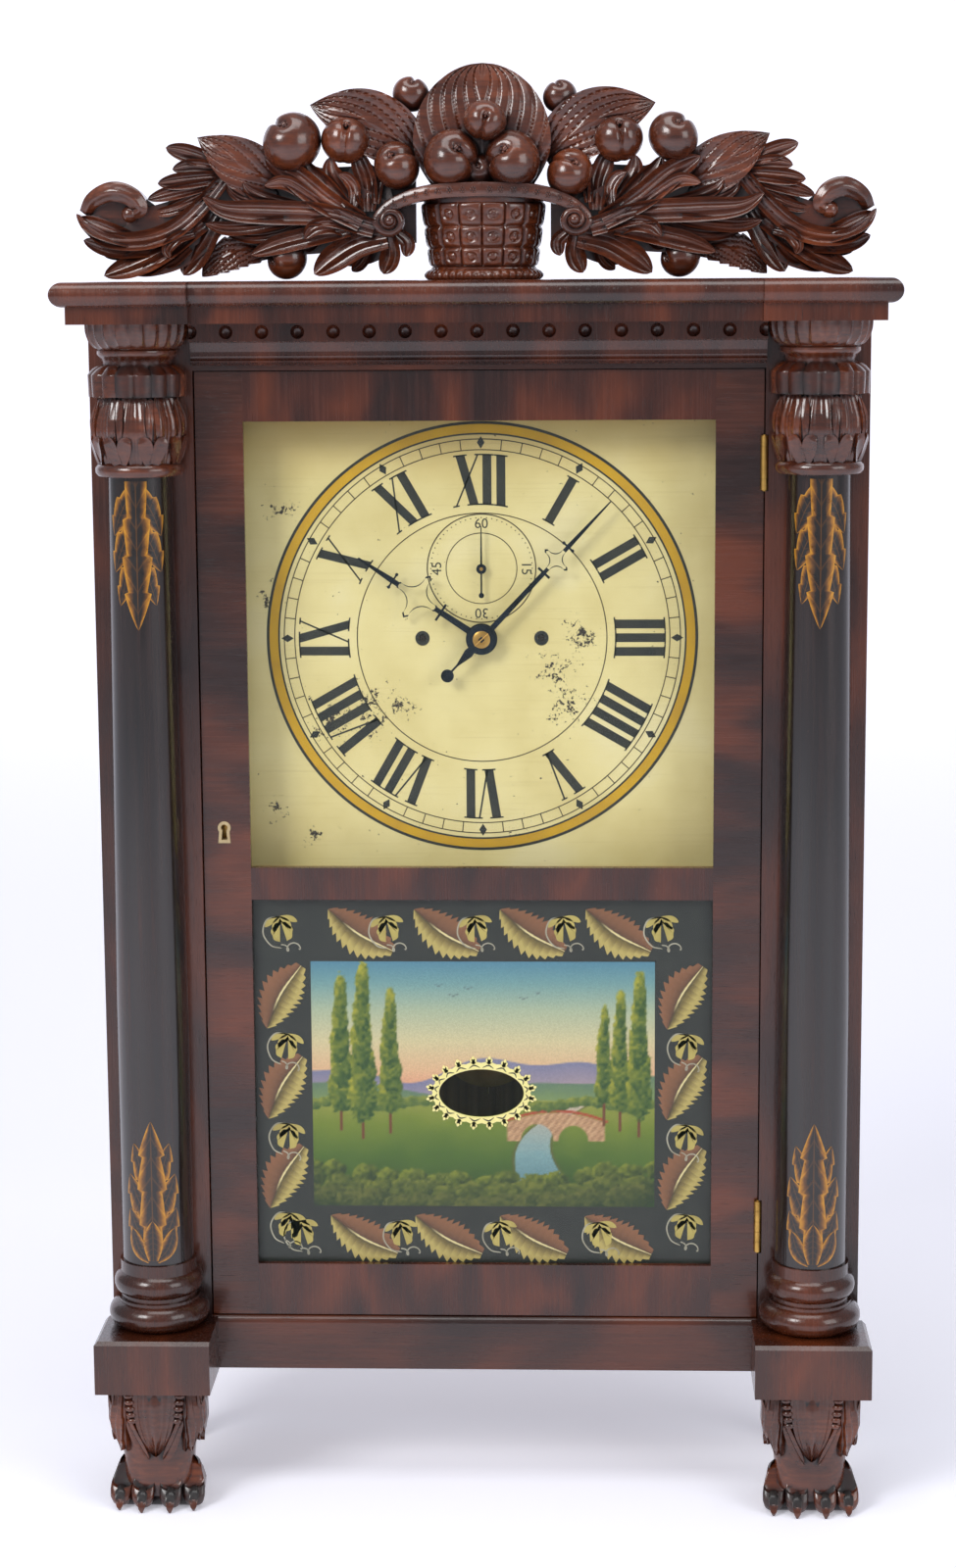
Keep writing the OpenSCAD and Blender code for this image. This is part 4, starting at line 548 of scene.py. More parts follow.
node_finishes = {
    finish_upright: ["case_side_left", "case_side_right", "front_stile_left", "front_stile_right",
                     "plinth_blocks", "rear_feet", "column_bases"],
    finish_level: ["face_rails"],
    finish_crossband: ["door_stile_hinge", "door_stile_lock"],
    finish_mould: ["cornice_front", "cornice_corner_left", "cornice_corner_right", "frieze_moulding",
                   "door_top_rail", "door_middle_rail", "door_bottom_rail"],
    finish_carved: ["crest_carving", "capital_left", "capital_right", "foot_left", "foot_right"],
    finish_pine_up: ["backboard", "movement_supports", "pulley_time", "pulley_strike"],
    finish_pine_level: ["case_bottom", "case_top", "glazing_beads"],
    finish_dial: ["dial"],
    finish_shaft: ["column_left", "column_right"],
    finish_glass: ["upper_glass", "tablet_glass"],
    finish_brass: ["hinge_leaves_case", "hinge_leaves_door", "front_plate", "back_plate", "lock_case",
                   "lock_bolt", "motion_wheel", "escape_wheel", "third_wheel", "centre_wheel",
                   "great_wheel", "pendulum"],
    finish_blued: ["minute_hand", "hour_hand", "seconds_hand"],
    finish_steel: ["verge", "hammer"],
    finish_iron: ["weight_time", "weight_strike", "bell", "drum_time", "drum_strike"],
    finish_bone: ["escutcheon"],
    finish_cord: ["cord_runs", "cord_drop_time", "cord_drop_strike"],
}
for finish, names in node_finishes.items():
    for name in names:
        mesh = frame["nodes"][name].data
        mesh.materials.clear()
        mesh.materials.append(finish)


# Dial

# Half the thickness of painted lines, and the numerals' radii
LINE = 0.12
NUMERAL_FOOT = 91
NUMERAL_HEAD = 124.5
SERIF_THICK = 1.0
SERIF_REACH = 1.6


def on_dial(shape, points, angle):
    """A thin shape drawn above the dial's centre and turned round it."""
    sine, cosine = math.sin(angle), math.cos(angle)
    outline = [(x * cosine + up * sine, dial_z + up * cosine - x * sine) for x, up in points]
    shape.prism(outline, dial_y - LINE, dial_y + LINE)


def on_circles(places):
    """Points above the dial's centre for places across, each on its own radius."""
    return [(x, math.sqrt(radius * radius - x * x)) for x, radius in places]


def stroke(shape, x0, x1, width, angle, low=NUMERAL_FOOT, high=NUMERAL_HEAD):
    """A bar of a numeral from its foot at x0 to its head at x1, both ends on circles round the centre."""
    half = width / 2
    ends = [(x0 - half, low), (x0 + half, low), (x1 + half, high), (x1 - half, high)]
    on_dial(shape, on_circles(ends), angle)


def serif(shape, x, reach, radius, angle):
    """A thin line across the end of a bar, on a circle round the centre."""
    outer = radius + SERIF_THICK
    for end in (x - reach, x + reach):
        on_dial(shape, on_circles([(end, radius), (x, radius), (x, outer), (end, outer)]), angle)


def numeral(shape, text, angle):
    """A radial roman numeral; its letters are a thick and a thin stroke each, or a thick bar."""
    thick, thin = 6.0, 1.2
    widths = {"I": 9.4, "V": 16.5, "X": 17.5}
    x = -sum(widths[letter] for letter in text) / 2
    for letter in text:
        wide = widths[letter]
        middle = wide / 2
        # Foot, head and width of each stroke, across from the letter's left side
        strokes = {"I": [(middle, middle, thick)],
                   "V": [(middle + 0.5, 3.4, thick), (middle + 1.5, wide - 1.2, thin)],
                   "X": [(wide - 4, 4, thick), (1.5, wide - 1.5, thin)]}[letter]
        for foot, head, width in strokes:
            stroke(shape, x + foot, x + head, width, angle)
            serif(shape, x + foot, width / 2 + SERIF_REACH, NUMERAL_FOOT - SERIF_THICK / 2, angle)
            serif(shape, x + head, width / 2 + SERIF_REACH, NUMERAL_HEAD - SERIF_THICK / 2, angle)
        x += wide


def small_lozenge(shape, radius, reach, angle):
    """A lozenge whose points lie on a radius and its reach to either side of it."""
    wide = reach * 0.62
    on_dial(shape, [(0, radius - reach), (wide, radius), (0, radius + reach), (-wide, radius)], angle)


def seconds_figure(number, turn):
    """The mesh of a figure of the seconds ring, turned with its place."""
    curve = bpy.data.curves.new("figure_" + number, "FONT")
    curve.body = number
    curve.size = 9.5 * MM
    curve.extrude = LINE * MM
    curve.align_x = "CENTER"
    curve.align_y = "CENTER"
    curve.resolution_u = 4
    text = bpy.data.objects.new("figure_" + number, curve)
    scene.collection.objects.link(text)
    angle = math.radians(turn)
    radius = 30.2
    place = Vector((radius * math.sin(angle), dial_y, seconds_z + radius * math.cos(angle))) * MM
    upright = Matrix.Rotation(math.pi / 2, 4, "X")
    text.matrix_world = Matrix.Translation(place) @ Matrix.Rotation(angle, 4, "Y") @ upright
    bpy.context.view_layer.update()
    mesh = bpy.data.meshes.new_from_object(text)
    mesh.transform(text.matrix_world)
    bpy.data.objects.remove(text)
    return mesh


def paint_dial():
    """Gold ring, black rings and numerals, black rings painted round the winding holes as their shade, fine
    lines with minute and second marks, and four figures.
    """
    front, back = dial_y - LINE, dial_y + LINE
    proud = dial_y - 1.5 * LINE
    gold = Shape()
    gold.annulus(0, dial_z, 138.8, 145.2, front, back)
    make("dial_gold_ring", gold, finish_ring)
    rings = Shape()
    for inner, outer in ((145.0, 146.9), (137.9, 139.1)):
        rings.annulus(0, dial_z, inner, outer, proud, back)
    # Painted shade: black rings round the winding arbors stand in for the dark inside the winding holes
    for winding_x in WINDING:
        rings.annulus(winding_x, dial_z, 2.6, 4.9, proud, back, 48)
    hours = ("XII", "I", "II", "III", "IIII", "V", "VI", "VII", "VIII", "IX", "X", "XI")
    for hour, text in enumerate(hours):
        numeral(rings, text, math.radians(30 * hour))
    for hour in range(12):
        small_lozenge(rings, 132.6, 4.2, math.radians(30 * hour))
    make("dial_numerals_and_hole_shade", rings, finish_black)
    lines = Shape()
    minutes_low, minutes_high = 127.7, 134.9
    for radius in (minutes_high, minutes_low, 85.0):
        lines.annulus(0, dial_z, radius - 0.35, radius + 0.35, front, back)
    for radius, wide in ((36.8, 0.4), (24.0, 0.3)):
        lines.annulus(0, seconds_z, radius - wide, radius + wide, front, back, 96)
    for minute in range(60):
        if minute % 5:
            stroke(lines, 0, 0, 0.7, math.radians(6 * minute), minutes_low, minutes_high)
    dot_radius = 34.4
    for second in range(60):
        angle = math.radians(6 * second)
        lines.annulus(dot_radius * math.sin(angle), seconds_z + dot_radius * math.cos(angle), 0.05, 0.45,
                      front, back, 6)
    make("dial_lines", lines, finish_line)
    work = bmesh.new()
    for number, turn in (("60", 0), ("15", 90), ("30", 180), ("45", 270)):
        work.from_mesh(seconds_figure(number, turn))
    mesh = bpy.data.meshes.new("seconds_figures")
    work.to_mesh(mesh)
    work.free()
    piece = put_in_scene("seconds_figures", mesh, finish_black)
    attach(piece, "root")


paint_dial()


# Stencils on the shafts

def shaft_radius(z):
    """The shaft is straight for a third of its height and then tapers."""
    third = shaft_low[2] + (shaft_high[2] - shaft_low[2]) / 3
    share = np.clip((z - third) / (shaft_high[2] - third), 0, 1)
    return shaft_foot_r + (shaft_top_r - shaft_foot_r) * share


def stencils():
    """Gilt leaves: at each end of a shaft a middle lobe with pairs of side lobes, and a spray at its foot."""
    shape = Shape()
    top, foot = shaft_high[2] - 2, shaft_low[2] + 4
    # Start and end along the shaft, reach and width of the side lobes
    side_lobes = ((4, 36, 17, 17), (26, 60, 16.5, 17), (48, 82, 12.5, 14))
    for side in (-1, 1):
        around = round_shaft(side * column_x, column_y, shaft_radius)
        for start, way in ((top, -1), (foot, 1)):
            leaf(shape, [(0, start), (0, start + way * 50), (0, start + way * 98)], 21, around, level(0.3),
                 peak=0.6, root=0.7, tip=0.75, teeth=4, tooth=0.35, rows=81, cols=11)
            for k, (low, high, reach, width) in enumerate(side_lobes):
                for lean in (-1, 1):
                    path = [(0, start + way * low), (lean * reach * 0.6, start + way * (low + high) / 2),
                            (lean * reach, start + way * high)]
                    leaf(shape, path, width, around, level(0.12 + 0.05 * k), peak=0.45, root=0.5, tip=0.8,
                         teeth=3, tooth=0.3, rows=40, cols=9)
        for lean in (-1, 1):
            leaf(shape, [(lean * 2, foot), (lean * 10, foot + 8), (lean * 15, foot + 22)], 11, around,
                 level(0.4), peak=0.5, root=0.4, tip=0.7, rows=20, cols=9)
        leaf(shape, [(0, foot), (0, foot + 14), (0, foot + 28)], 13, around, level(0.45), peak=0.45,
             root=0.5, tip=0.8, rows=20, cols=9)
    make("shaft_stencils", shape, finish_gilt)


stencils()


# Painted pane

# Picture's half width, foot and head, and the window's middle and half width and height
PICTURE_HALF = 118.5
PICTURE_LOW = 199.0
PICTURE_HIGH = 374.0
WINDOW = (-1.2, 280.6, 29.0, 16.7)
PAINT_Y = pane_high[1] - 0.3


def lattice(x, z, cell, seed):
    """Smooth random values over the picture, one knot every cell."""
    size = 400
    knots = np.random.default_rng(seed).random((size, size))
    gx, gz = (x + size) / cell, (z + size) / cell
    i, j = gx.astype(int), gz.astype(int)
    fx, fz = gx - i, gz - j
    fx, fz = fx * fx * (3 - 2 * fx), fz * fz * (3 - 2 * fz)
    i, j = i % (size - 1), j % (size - 1)
    low = knots[i, j] * (1 - fx) + knots[i + 1, j] * fx
    high = knots[i, j + 1] * (1 - fx) + knots[i + 1, j + 1] * fx
    return low * (1 - fz) + high * fz


def shades(value, *stops):
    """Display colours for values, from stops of a place and a colour."""
    places = [place for place, _ in stops]
    return np.stack([np.interp(value, places, [colour[i] for _, colour in stops]) for i in range(3)], -1)


def lay(picture, mask, colours):
    """Lays colours over the picture where the mask is, softly between 0 and 1."""
    cover = np.clip(mask, 0, 1)[..., None]
    return picture * (1 - cover) + colours * cover


def landscape(x, z):
    """A made-up river valley in the evening: hills, a stone bridge, poplars and bushes."""
    # How sharp the edges of things are
    edge, thin_edge = 1.2, 1.4
    rough = lattice(x, z, 3.0, 1) + 0.5 * lattice(x, z, 1.4, 2)
    picture = shades(z, (84, (226, 158, 126)), (98, (228, 186, 142)), (118, (216, 204, 156)),
                     (140, (176, 190, 158)), (160, (116, 160, 160)), (175, (84, 136, 158)))
    # Two ranges of hills and the meadow, each with its outline's height
    far = 99 + 7 * np.sin(x / 30 + 0.6) + 4 * np.sin(x / 13 + 2)
    far_hills = shades(far - z, (0, (126, 128, 156)), (18, (172, 152, 156)))
    picture = lay(picture, (far - z) * edge, far_hills)
    near = 88 + 5 * np.sin(x / 44 - 1.0) + 2.5 * np.sin(x / 17)
    near_hills = shades(near - z + 3 * rough, (0, (96, 124, 104)), (14, (122, 146, 92)))
    picture = lay(picture, (near - z) * edge, near_hills)
    meadow = 76 + 3 * np.sin(x / 50 + 2)
    field = shades(meadow - z + 7 * lattice(x, z, 11, 5), (0, (158, 158, 74)), (20, (116, 134, 46)),
                   (46, (74, 104, 36)), (72, (42, 72, 28)))
    picture = lay(picture, (meadow - z) * edge, field)
    # The river winds down from the far meadow and widens
    down = np.clip(meadow - z, 0, None)
    centre = 72 - 40 * np.sin(down / 24.0) * np.exp(-down / 90) - down * 0.3
    wide = 3 + down * 0.25
    water = shades(z + 4 * lattice(x * 0.3, z, 2.2, 8), (0, (70, 112, 120)), (40, (128, 164, 164)),
                   (76, (206, 186, 160)))
    picture = lay(picture, (wide - np.abs(x - centre)) * np.where(down > 0, edge, 0), water)
    bank = 1.2 - np.abs(np.abs(x - centre) - wide - 0.6)
    picture = lay(picture, bank * np.where(down > 0, 0.8, 0), np.array([96, 92, 52]))
    # An arched bridge over the narrow part
    bridge_x, bridge_half, bridge_foot = 50.0, 34, 47
    deck = 61 + 7 * (1 - ((x - bridge_x) / bridge_half) ** 2)
    across = np.abs(x - bridge_x)
    body = np.minimum((deck - z) * edge, (bridge_half - across) * edge)
    body = np.minimum(body, (z - bridge_foot) * edge)
    for arch_x, radius in ((bridge_x - 13, 11), (bridge_x + 12, 10)):
        body = np.minimum(body, (np.hypot(x - arch_x, (z - bridge_foot) * 0.9) - radius) * edge)
    courses = 0.5 + 0.5 * np.cos(z * 2.1) * np.cos(x * 1.3 + np.round(z / 1.5) * 1.6)
    stone = shades(courses + 0.6 * rough, (0, (150, 112, 84)), (1, (194, 152, 112)), (1.6, (216, 178, 136)))
    picture = lay(picture, body, stone)
    rail = np.minimum(1.3 - np.abs(z - deck - 1.0), bridge_half + 2 - across)
    picture = lay(picture, rail * thin_edge, np.array([176, 74, 48]))

    def foliage(picture, cx, cz, rx, rz, light, dark, seed):
        """A leafy mass lit from the upper left."""
        reach = np.hypot((x - cx) / rx, (z - cz) / rz)
        ragged = 1.0 + 0.24 * (lattice(x, z, 2.6, seed) - 0.5) + 0.16 * (lattice(x, z, 1.3, seed + 1) - 0.5)
        lit = (z - cz) / rz * 0.6 - (x - cx) / rx * 0.35 + 0.9 * (lattice(x, z, 2.0, seed + 2) - 0.5)
        middle = tuple((a + b) / 2 for a, b in zip(light, dark))
        colours = shades(lit, (-0.7, dark), (0.1, middle), (0.8, light))
        return lay(picture, (ragged - reach) * min(rx, rz) * edge, colours)

    # A far hedge, then poplars on both banks, each with its place, foot, height and width
    for k, cx in enumerate(np.arange(-116, 120, 8.5)):
        picture = foliage(picture, cx, 74 + 2 * math.sin(cx / 9), 6.4, 4.2, (146, 152, 62), (58, 88, 44),
                          40 + k)
    poplars = ((-98, 62, 86, 9.5), (-83, 56, 100, 10.5), (-64, 60, 78, 9),
               (83, 66, 62, 7), (94, 62, 76, 8), (107, 58, 92, 9.5))
    for k, (cx, foot, tall, spread) in enumerate(poplars):
        trunk = np.minimum(1.3 - np.abs(x - cx), np.minimum(z - foot + 8, foot + 14 - z))
        picture = lay(picture, trunk * thin_edge, np.array([112, 66, 40]))
        for step in range(5):
            share = step / 4
            middle = foot + 12 + tall * (0.12 + 0.76 * share)
            picture = foliage(picture, cx + 0.6 * math.sin(step * 2), middle, spread * (1 - 0.5 * share),
                              tall * 0.2, (178, 172, 56), (44, 78, 34), 70 + 9 * k + step)
    # Bushes along the foot of the picture
    random = np.random.default_rng(11)
    for row, (base, size) in enumerate(((24, 11), (15, 13), (5, 14))):
        for k, cx in enumerate(np.arange(-118, 122, 17 - row)):
            hump = 10 * (abs(cx) / 118) ** 2
            picture = foliage(picture, cx + random.uniform(-3, 3), base + hump - 6 + random.uniform(-2, 2),
                              size * random.uniform(0.8, 1.1), size * random.uniform(0.62, 0.8),
                              (128 - 14 * row, 136 - 16 * row, 46), (28, 50, 24), 200 + 20 * row + k)
    # Birds
    birds = ((-20, 150, 3.6), (-10, 155, 2.8), (-30, 157, 2.6), (28, 148, 3.0), (38, 152, 2.4))
    for bird_x, bird_z, size in birds:
        wing = 0.55 * np.abs(np.sin((x - bird_x) / size * 1.5)) * size
        line = np.minimum(0.55 - np.abs(z - bird_z - wing * 0.5), (size - np.abs(x - bird_x)))
        picture = lay(picture, line * 1.6, np.array([74, 84, 92]))
    return picture


def paint_picture():
    """The picture is a fine grid of painted points with the oval window left open."""
    cell = 1.0
    columns = int(2 * PICTURE_HALF / cell) + 1
    rows = int((PICTURE_HIGH - PICTURE_LOW) / cell) + 1
    x, z = np.meshgrid(np.linspace(-PICTURE_HALF, PICTURE_HALF, columns),
                       np.linspace(PICTURE_LOW, PICTURE_HIGH, rows))
    # Points near the window's edge move onto it
    wx, wz, ra, rb = WINDOW
    reach = np.hypot((x - wx) / ra, (z - wz) / rb)
    close = (reach > 0.94) & (reach < 1.04)
    x = np.where(close, wx + (x - wx) / reach, x)
    z = np.where(close, wz + (z - wz) / reach, z)
    reach = np.where(close, 1.0, reach)
    colours = linear(landscape(x, z - PICTURE_LOW) / 255)
    index = np.arange(rows * columns).reshape(rows, columns)
    inside = reach < 0.999
    # The four corners of each cell, as blocks of the grid
    low, high = slice(None, -1), slice(1, None)
    blocks = ((low, low), (low, high), (high, high), (high, low))
    cut = np.any([inside[block] for block in blocks], axis=0)
    faces = np.stack([index[block] for block in blocks], -1)[~cut].tolist()
    points = np.stack([x, np.full_like(x, PAINT_Y), z], -1).reshape(-1, 3)
    mesh = bpy.data.meshes.new("tablet_picture")
    mesh.from_pydata((points * MM).tolist(), [], faces)
    mark_points(mesh, colours)
    work = bmesh.new()
    work.from_mesh(mesh)
    bmesh.ops.delete(work, geom=[v for v in work.verts if not v.link_faces], context="VERTS")
    work.to_mesh(mesh)
    work.free()
    piece = put_in_scene("tablet_picture", mesh, finish_picture)
    solid = piece.modifiers.new("thickness", "SOLIDIFY")
    solid.thickness = 0.25 * MM
    solid.offset = -1
    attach(piece, "door")


def bellflower(yellow, pale, x, z, turn):
    """A yellow bell with drooping sepals and a curling stem; turn is its lean in degrees."""
    angle = math.radians(turn)
    neck = 10
    surface, thin = flat(PAINT_Y), level(0.25)

    def at(a, b):
        return (x + a * math.cos(angle) + b * math.sin(angle), z + b * math.cos(angle) - a * math.sin(angle))

    # The bell's rim is scalloped, and it narrows to a point above
    bell = [at(0, 8.6)]
    for t in np.linspace(0.35, 2 * math.pi - 0.35, 30):
        wave = math.cos(7 * t)
        bell.append(at(7.4 * math.sin(t) * (1 + 0.06 * wave), -7.2 * math.cos(t) * (1 + 0.05 * wave) - 1))
    yellow.prism(bell, PAINT_Y - 0.25, PAINT_Y)
    for lean, reach in ((-62, 12.5), (-28, 11.5), (34, 11.5), (66, 12.5)):
        tilt = math.radians(lean)
        end = at(reach * math.sin(tilt), neck - reach * math.cos(tilt))
        middle = at(reach * 0.5 * math.sin(tilt) * 1.25, neck - reach * 0.45 * math.cos(tilt))
        leaf(yellow, [at(0, neck), middle, end], 4.2, surface, thin, back=0, peak=0.55, root=0.2, tip=0.7,
             rows=14, cols=5)
    stem = [at(0, neck), at(-9, 9), at(-13, 0), at(-9, -9), at(-2, -12)]
    leaf(pale, stem, 1.0, surface, thin, back=0, peak=0.5, root=0.9, tip=0.2, rows=26, cols=3)
    curl = [at(-2 + 4 * k + 2.2 * math.sin(3.1 * k), -12 + 2.6 * math.cos(3.1 * k))
            for k in np.arange(0, 3.6, 0.3)]
    leaf(pale, curl, 0.9, surface, thin, back=0, peak=0.5, root=0.9, tip=0.2, rows=44, cols=3)


def paint_border():
    """Black border with alternate leaves and bellflowers, all the way round the picture."""
    gap, line = 0.2, 0.8
    left, right = pane_low[0] + gap, pane_high[0] - gap
    low, high = pane_low[2] + gap, pane_high[2] - gap
    half, base, top = PICTURE_HALF, PICTURE_LOW, PICTURE_HIGH
    black = Shape()
    ground = ((left, -half, low, high), (half, right, low, high), (-half, half, low, base),
              (-half, half, top, high))
    inner_line = ((-half, -half + line, base, top), (half - line, half, base, top),
                  (-half, half, base, base + line), (-half, half, top - line, top))
    for boxes, front, back in ((ground, PAINT_Y, pane_high[1]), (inner_line, PAINT_Y - 0.1, PAINT_Y)):
        for x0, x1, z0, z1 in boxes:
            black.prism([(x0, z0), (x1, z0), (x1, z1), (x0, z1)], front, back)
    make("tablet_border", black, finish_tablet_black, "door")
    # Middle lines of the border; the beads hide the outermost part
    hidden = 6
    edge_x = (half + pane_high[0] - hidden) / 2
    edge_high = (top + pane_high[2] - hidden) / 2
    edge_low = (base + pane_low[2] + hidden) / 2
    leaves, yellow, pale = Shape(), Shape(), Shape()

    def border_leaf(x0, z0, x1, z1, bow=3.0):
        length = math.hypot(x1 - x0, z1 - z0)
        middle = ((x0 + x1) / 2 - bow * (z1 - z0) / length, (z0 + z1) / 2 + bow * (x1 - x0) / length)
        leaf(leaves, [(x0, z0), middle, (x1, z1)], 31, flat(PAINT_Y), level(0.2), back=0, peak=0.45,
             root=0.25, tip=0.75, teeth=11, tooth=0.3, rows=100, cols=9)

    for k in range(4):
        x = -93 + 58.6 * k
        border_leaf(x + 32, edge_high - 15, x - 12, edge_high + 14)
        border_leaf(x + 33, edge_low - 14, x - 13, edge_low + 13)
        bellflower(yellow, pale, -126 + 69 * k, edge_low - 1, -8)
    for x in (-137, -64.5, -4, 56.5, 123):
        bellflower(yellow, pale, x, edge_high - 1, -8)
    for side in (-1, 1):
        for k in range(3):
            z = 352 - 64 * k
            border_leaf(side * edge_x + 13, z + 18, side * edge_x - 11, z - 26, -3.0)
            bellflower(yellow, pale, side * edge_x + 2, z - 40, 8)
    make("border_leaves", leaves, finish_border_leaf, "door")
    make("border_bellflowers", yellow, finish_border_yellow, "door")
    make("border_tendrils", pale, finish_tendril, "door")


def paint_window_frame():
    """A scalloped ring of pale gold with a small trefoil on each scallop."""
    wx, wz, ra, rb = WINDOW
    scallops = 20
    front = PAINT_Y - 0.4

    def on_oval(turn, reach):
        return (wx + (ra + reach) * math.sin(turn), wz + (rb + reach) * math.cos(turn))

    gold = Shape()
    rings = []
    for t in round_angles(160):
        (x0, z0), (x1, z1) = on_oval(t, 0.2), on_oval(t, 4.6 + abs(math.sin(scallops / 2 * t)))
        rings.append([(x0, front, z0), (x1, front, z1), (x1, PAINT_Y, z1), (x0, PAINT_Y, z0)])
    gold.skin(rings, closed=True)
    dark = Shape()
    for k in range(scallops):
        start, middle, end = [2 * math.pi * (k + share) / scallops for share in (0.1, 0.5, 0.9)]
        root = np.array(on_oval(middle, 5))
        out = np.array([math.sin(middle) / ra, math.cos(middle) / rb])
        out /= np.linalg.norm(out)
        side = np.array([-out[1], out[0]])
        for lean, reach in ((-0.75, 3.4), (0, 4.6), (0.75, 3.4)):
            way = out + side * lean
            way /= np.linalg.norm(way)
            leaf(gold, [root - out, root + way * reach * 0.5, root + way * reach], 2.4, flat(PAINT_Y),
                 level(0.4), back=0, peak=0.6, root=0.4, tip=0.6, rows=9, cols=3)
        path = [on_oval(start, 1.4), on_oval(middle, 3.2), on_oval(end, 1.4)]
        leaf(dark, path, 0.9, flat(PAINT_Y), level(0.5), back=0, rows=9, cols=3)
    make("window_frame", gold, finish_pale_gold, "door")
    make("window_frame_lines", dark, finish_tablet_black, "door")


paint_picture()
paint_border()
paint_window_frame()


# Carving

CREST_BACK = corners("crest_carving")[1][1]


def lifted(root, middle, tip, cup=0.16, flute=0.16, veins=0, cut=0.8, slant=0.5, rib=0.0):
    """How high a carved leaf stands along and across itself: cupped, fluted, and cut with veins."""
    def height(u, v, half):
        h = root * (1 - u) * (1 - 2 * u) + 4 * middle * u * (1 - u) + tip * u * (2 * u - 1)
        h = h + half * (cup * v**2 + flute * (np.cos(2 * math.pi * v) - 1) / 2)
        h = h + rib * np.exp(-(v / 0.07) ** 2) * (1 - u)
        if veins:
            place = np.modf(veins * (u - slant * np.abs(v)) + 9)[0]
            groove = np.clip(1 - 6 * np.abs(place - 0.5), 0, 1) * np.clip(np.abs(v) / 0.1, 0, 1)
            h = h - cut * groove
        return h
    return height


def ball(shape, centre, radius, squash=(1, 1, 1), steps=14):
    """A closed round body."""
    turn = round_angles(2 * steps)
    reach = radius * np.array(squash)
    rings = []
    for a in np.linspace(0.06, math.pi - 0.06, steps):
        away = [math.sin(a) * np.cos(turn), math.sin(a) * np.sin(turn), np.full_like(turn, math.cos(a))]
        rings.append(np.array(centre) + reach * np.stack(away, 1))
    shape.skin(rings)


def fruit(shape, x, height, radius, lift, lean, up, crease):
    """A round fruit with a dimpled blossom end that looks forward and up, and a crease over one side."""
    centre = np.array([x, CREST_BACK - lift, cornice_z + height])
    pole = np.array([math.sin(lean), -math.cos(lean) * math.cos(up), math.cos(lean) * math.sin(up)])
    pole /= np.linalg.norm(pole)
    side = np.cross(pole, (0, 0, 1))
    side /= np.linalg.norm(side)
    over = np.cross(side, pole)
    turn = round_angles(48)
    outward = np.cos(turn)[:, None] * side + np.sin(turn)[:, None] * over
    rings = []
    for a in np.concatenate([[0.03, 0.1, 0.18, 0.27], np.linspace(0.36, math.pi - 0.08, 20)]):
        dimple = 0.16 * math.exp(-(a / 0.27) ** 2)
        gap = np.abs(np.angle(np.exp(1j * (turn - crease))))
        fold = 0.19 * np.exp(-(gap * math.sin(a) / 0.13) ** 2) * min(1.0, 2.4 * math.exp(-(a - 0.2)))
        swell = 0.05 * np.cos(2 * (turn - crease)) * math.sin(a)
        r = (radius * (1 - dimple - fold - swell))[:, None]
        rings.append(centre + r * math.cos(a) * pole + r * math.sin(a) * outward)
    shape.skin(rings)
    # Blossom end: a bead with five smaller ones round it
    tip = centre + pole * radius * 0.85
    ball(shape, tip, radius * 0.11, steps=6)
    for t in round_angles(5):
        ball(shape, tip + radius * 0.13 * (math.cos(t) * side + math.sin(t) * over), radius * 0.06, steps=5)


def band(shape, path, widths, lifts, back, rows):
    """A rounded band that runs along a path on the face of the carving."""
    line = spline(path, rows)
    share = np.linspace(0, len(path) - 1, rows)
    wide = np.interp(share, np.arange(len(path)), widths)
    lift = np.interp(share, np.arange(len(path)), lifts)
    step = np.gradient(line, axis=0)
    step /= np.linalg.norm(step, axis=1)[:, None]
    side = np.stack([-step[:, 1], step[:, 0]], 1)
    rings = []
    for p, n, w, h in zip(line, side, wide, lift):
        section = [(-0.42, back), (-0.5, h - 3), (-0.44, h - 1), (-0.25, h), (0, h + 0.4), (0.25, h),
                   (0.44, h - 1), (0.5, h - 3), (0.42, back)]
        rings.append([(p[0] + n[0] * w * s, CREST_BACK - c, cornice_z + p[1] + n[1] * w * s)
                      for s, c in section])
    shape.skin(rings)


def right_side(x):
    """Where a place on the left half of the crest comes on the right half."""
    return -x + np.interp(-x, [190, 265], [8, -3.5])


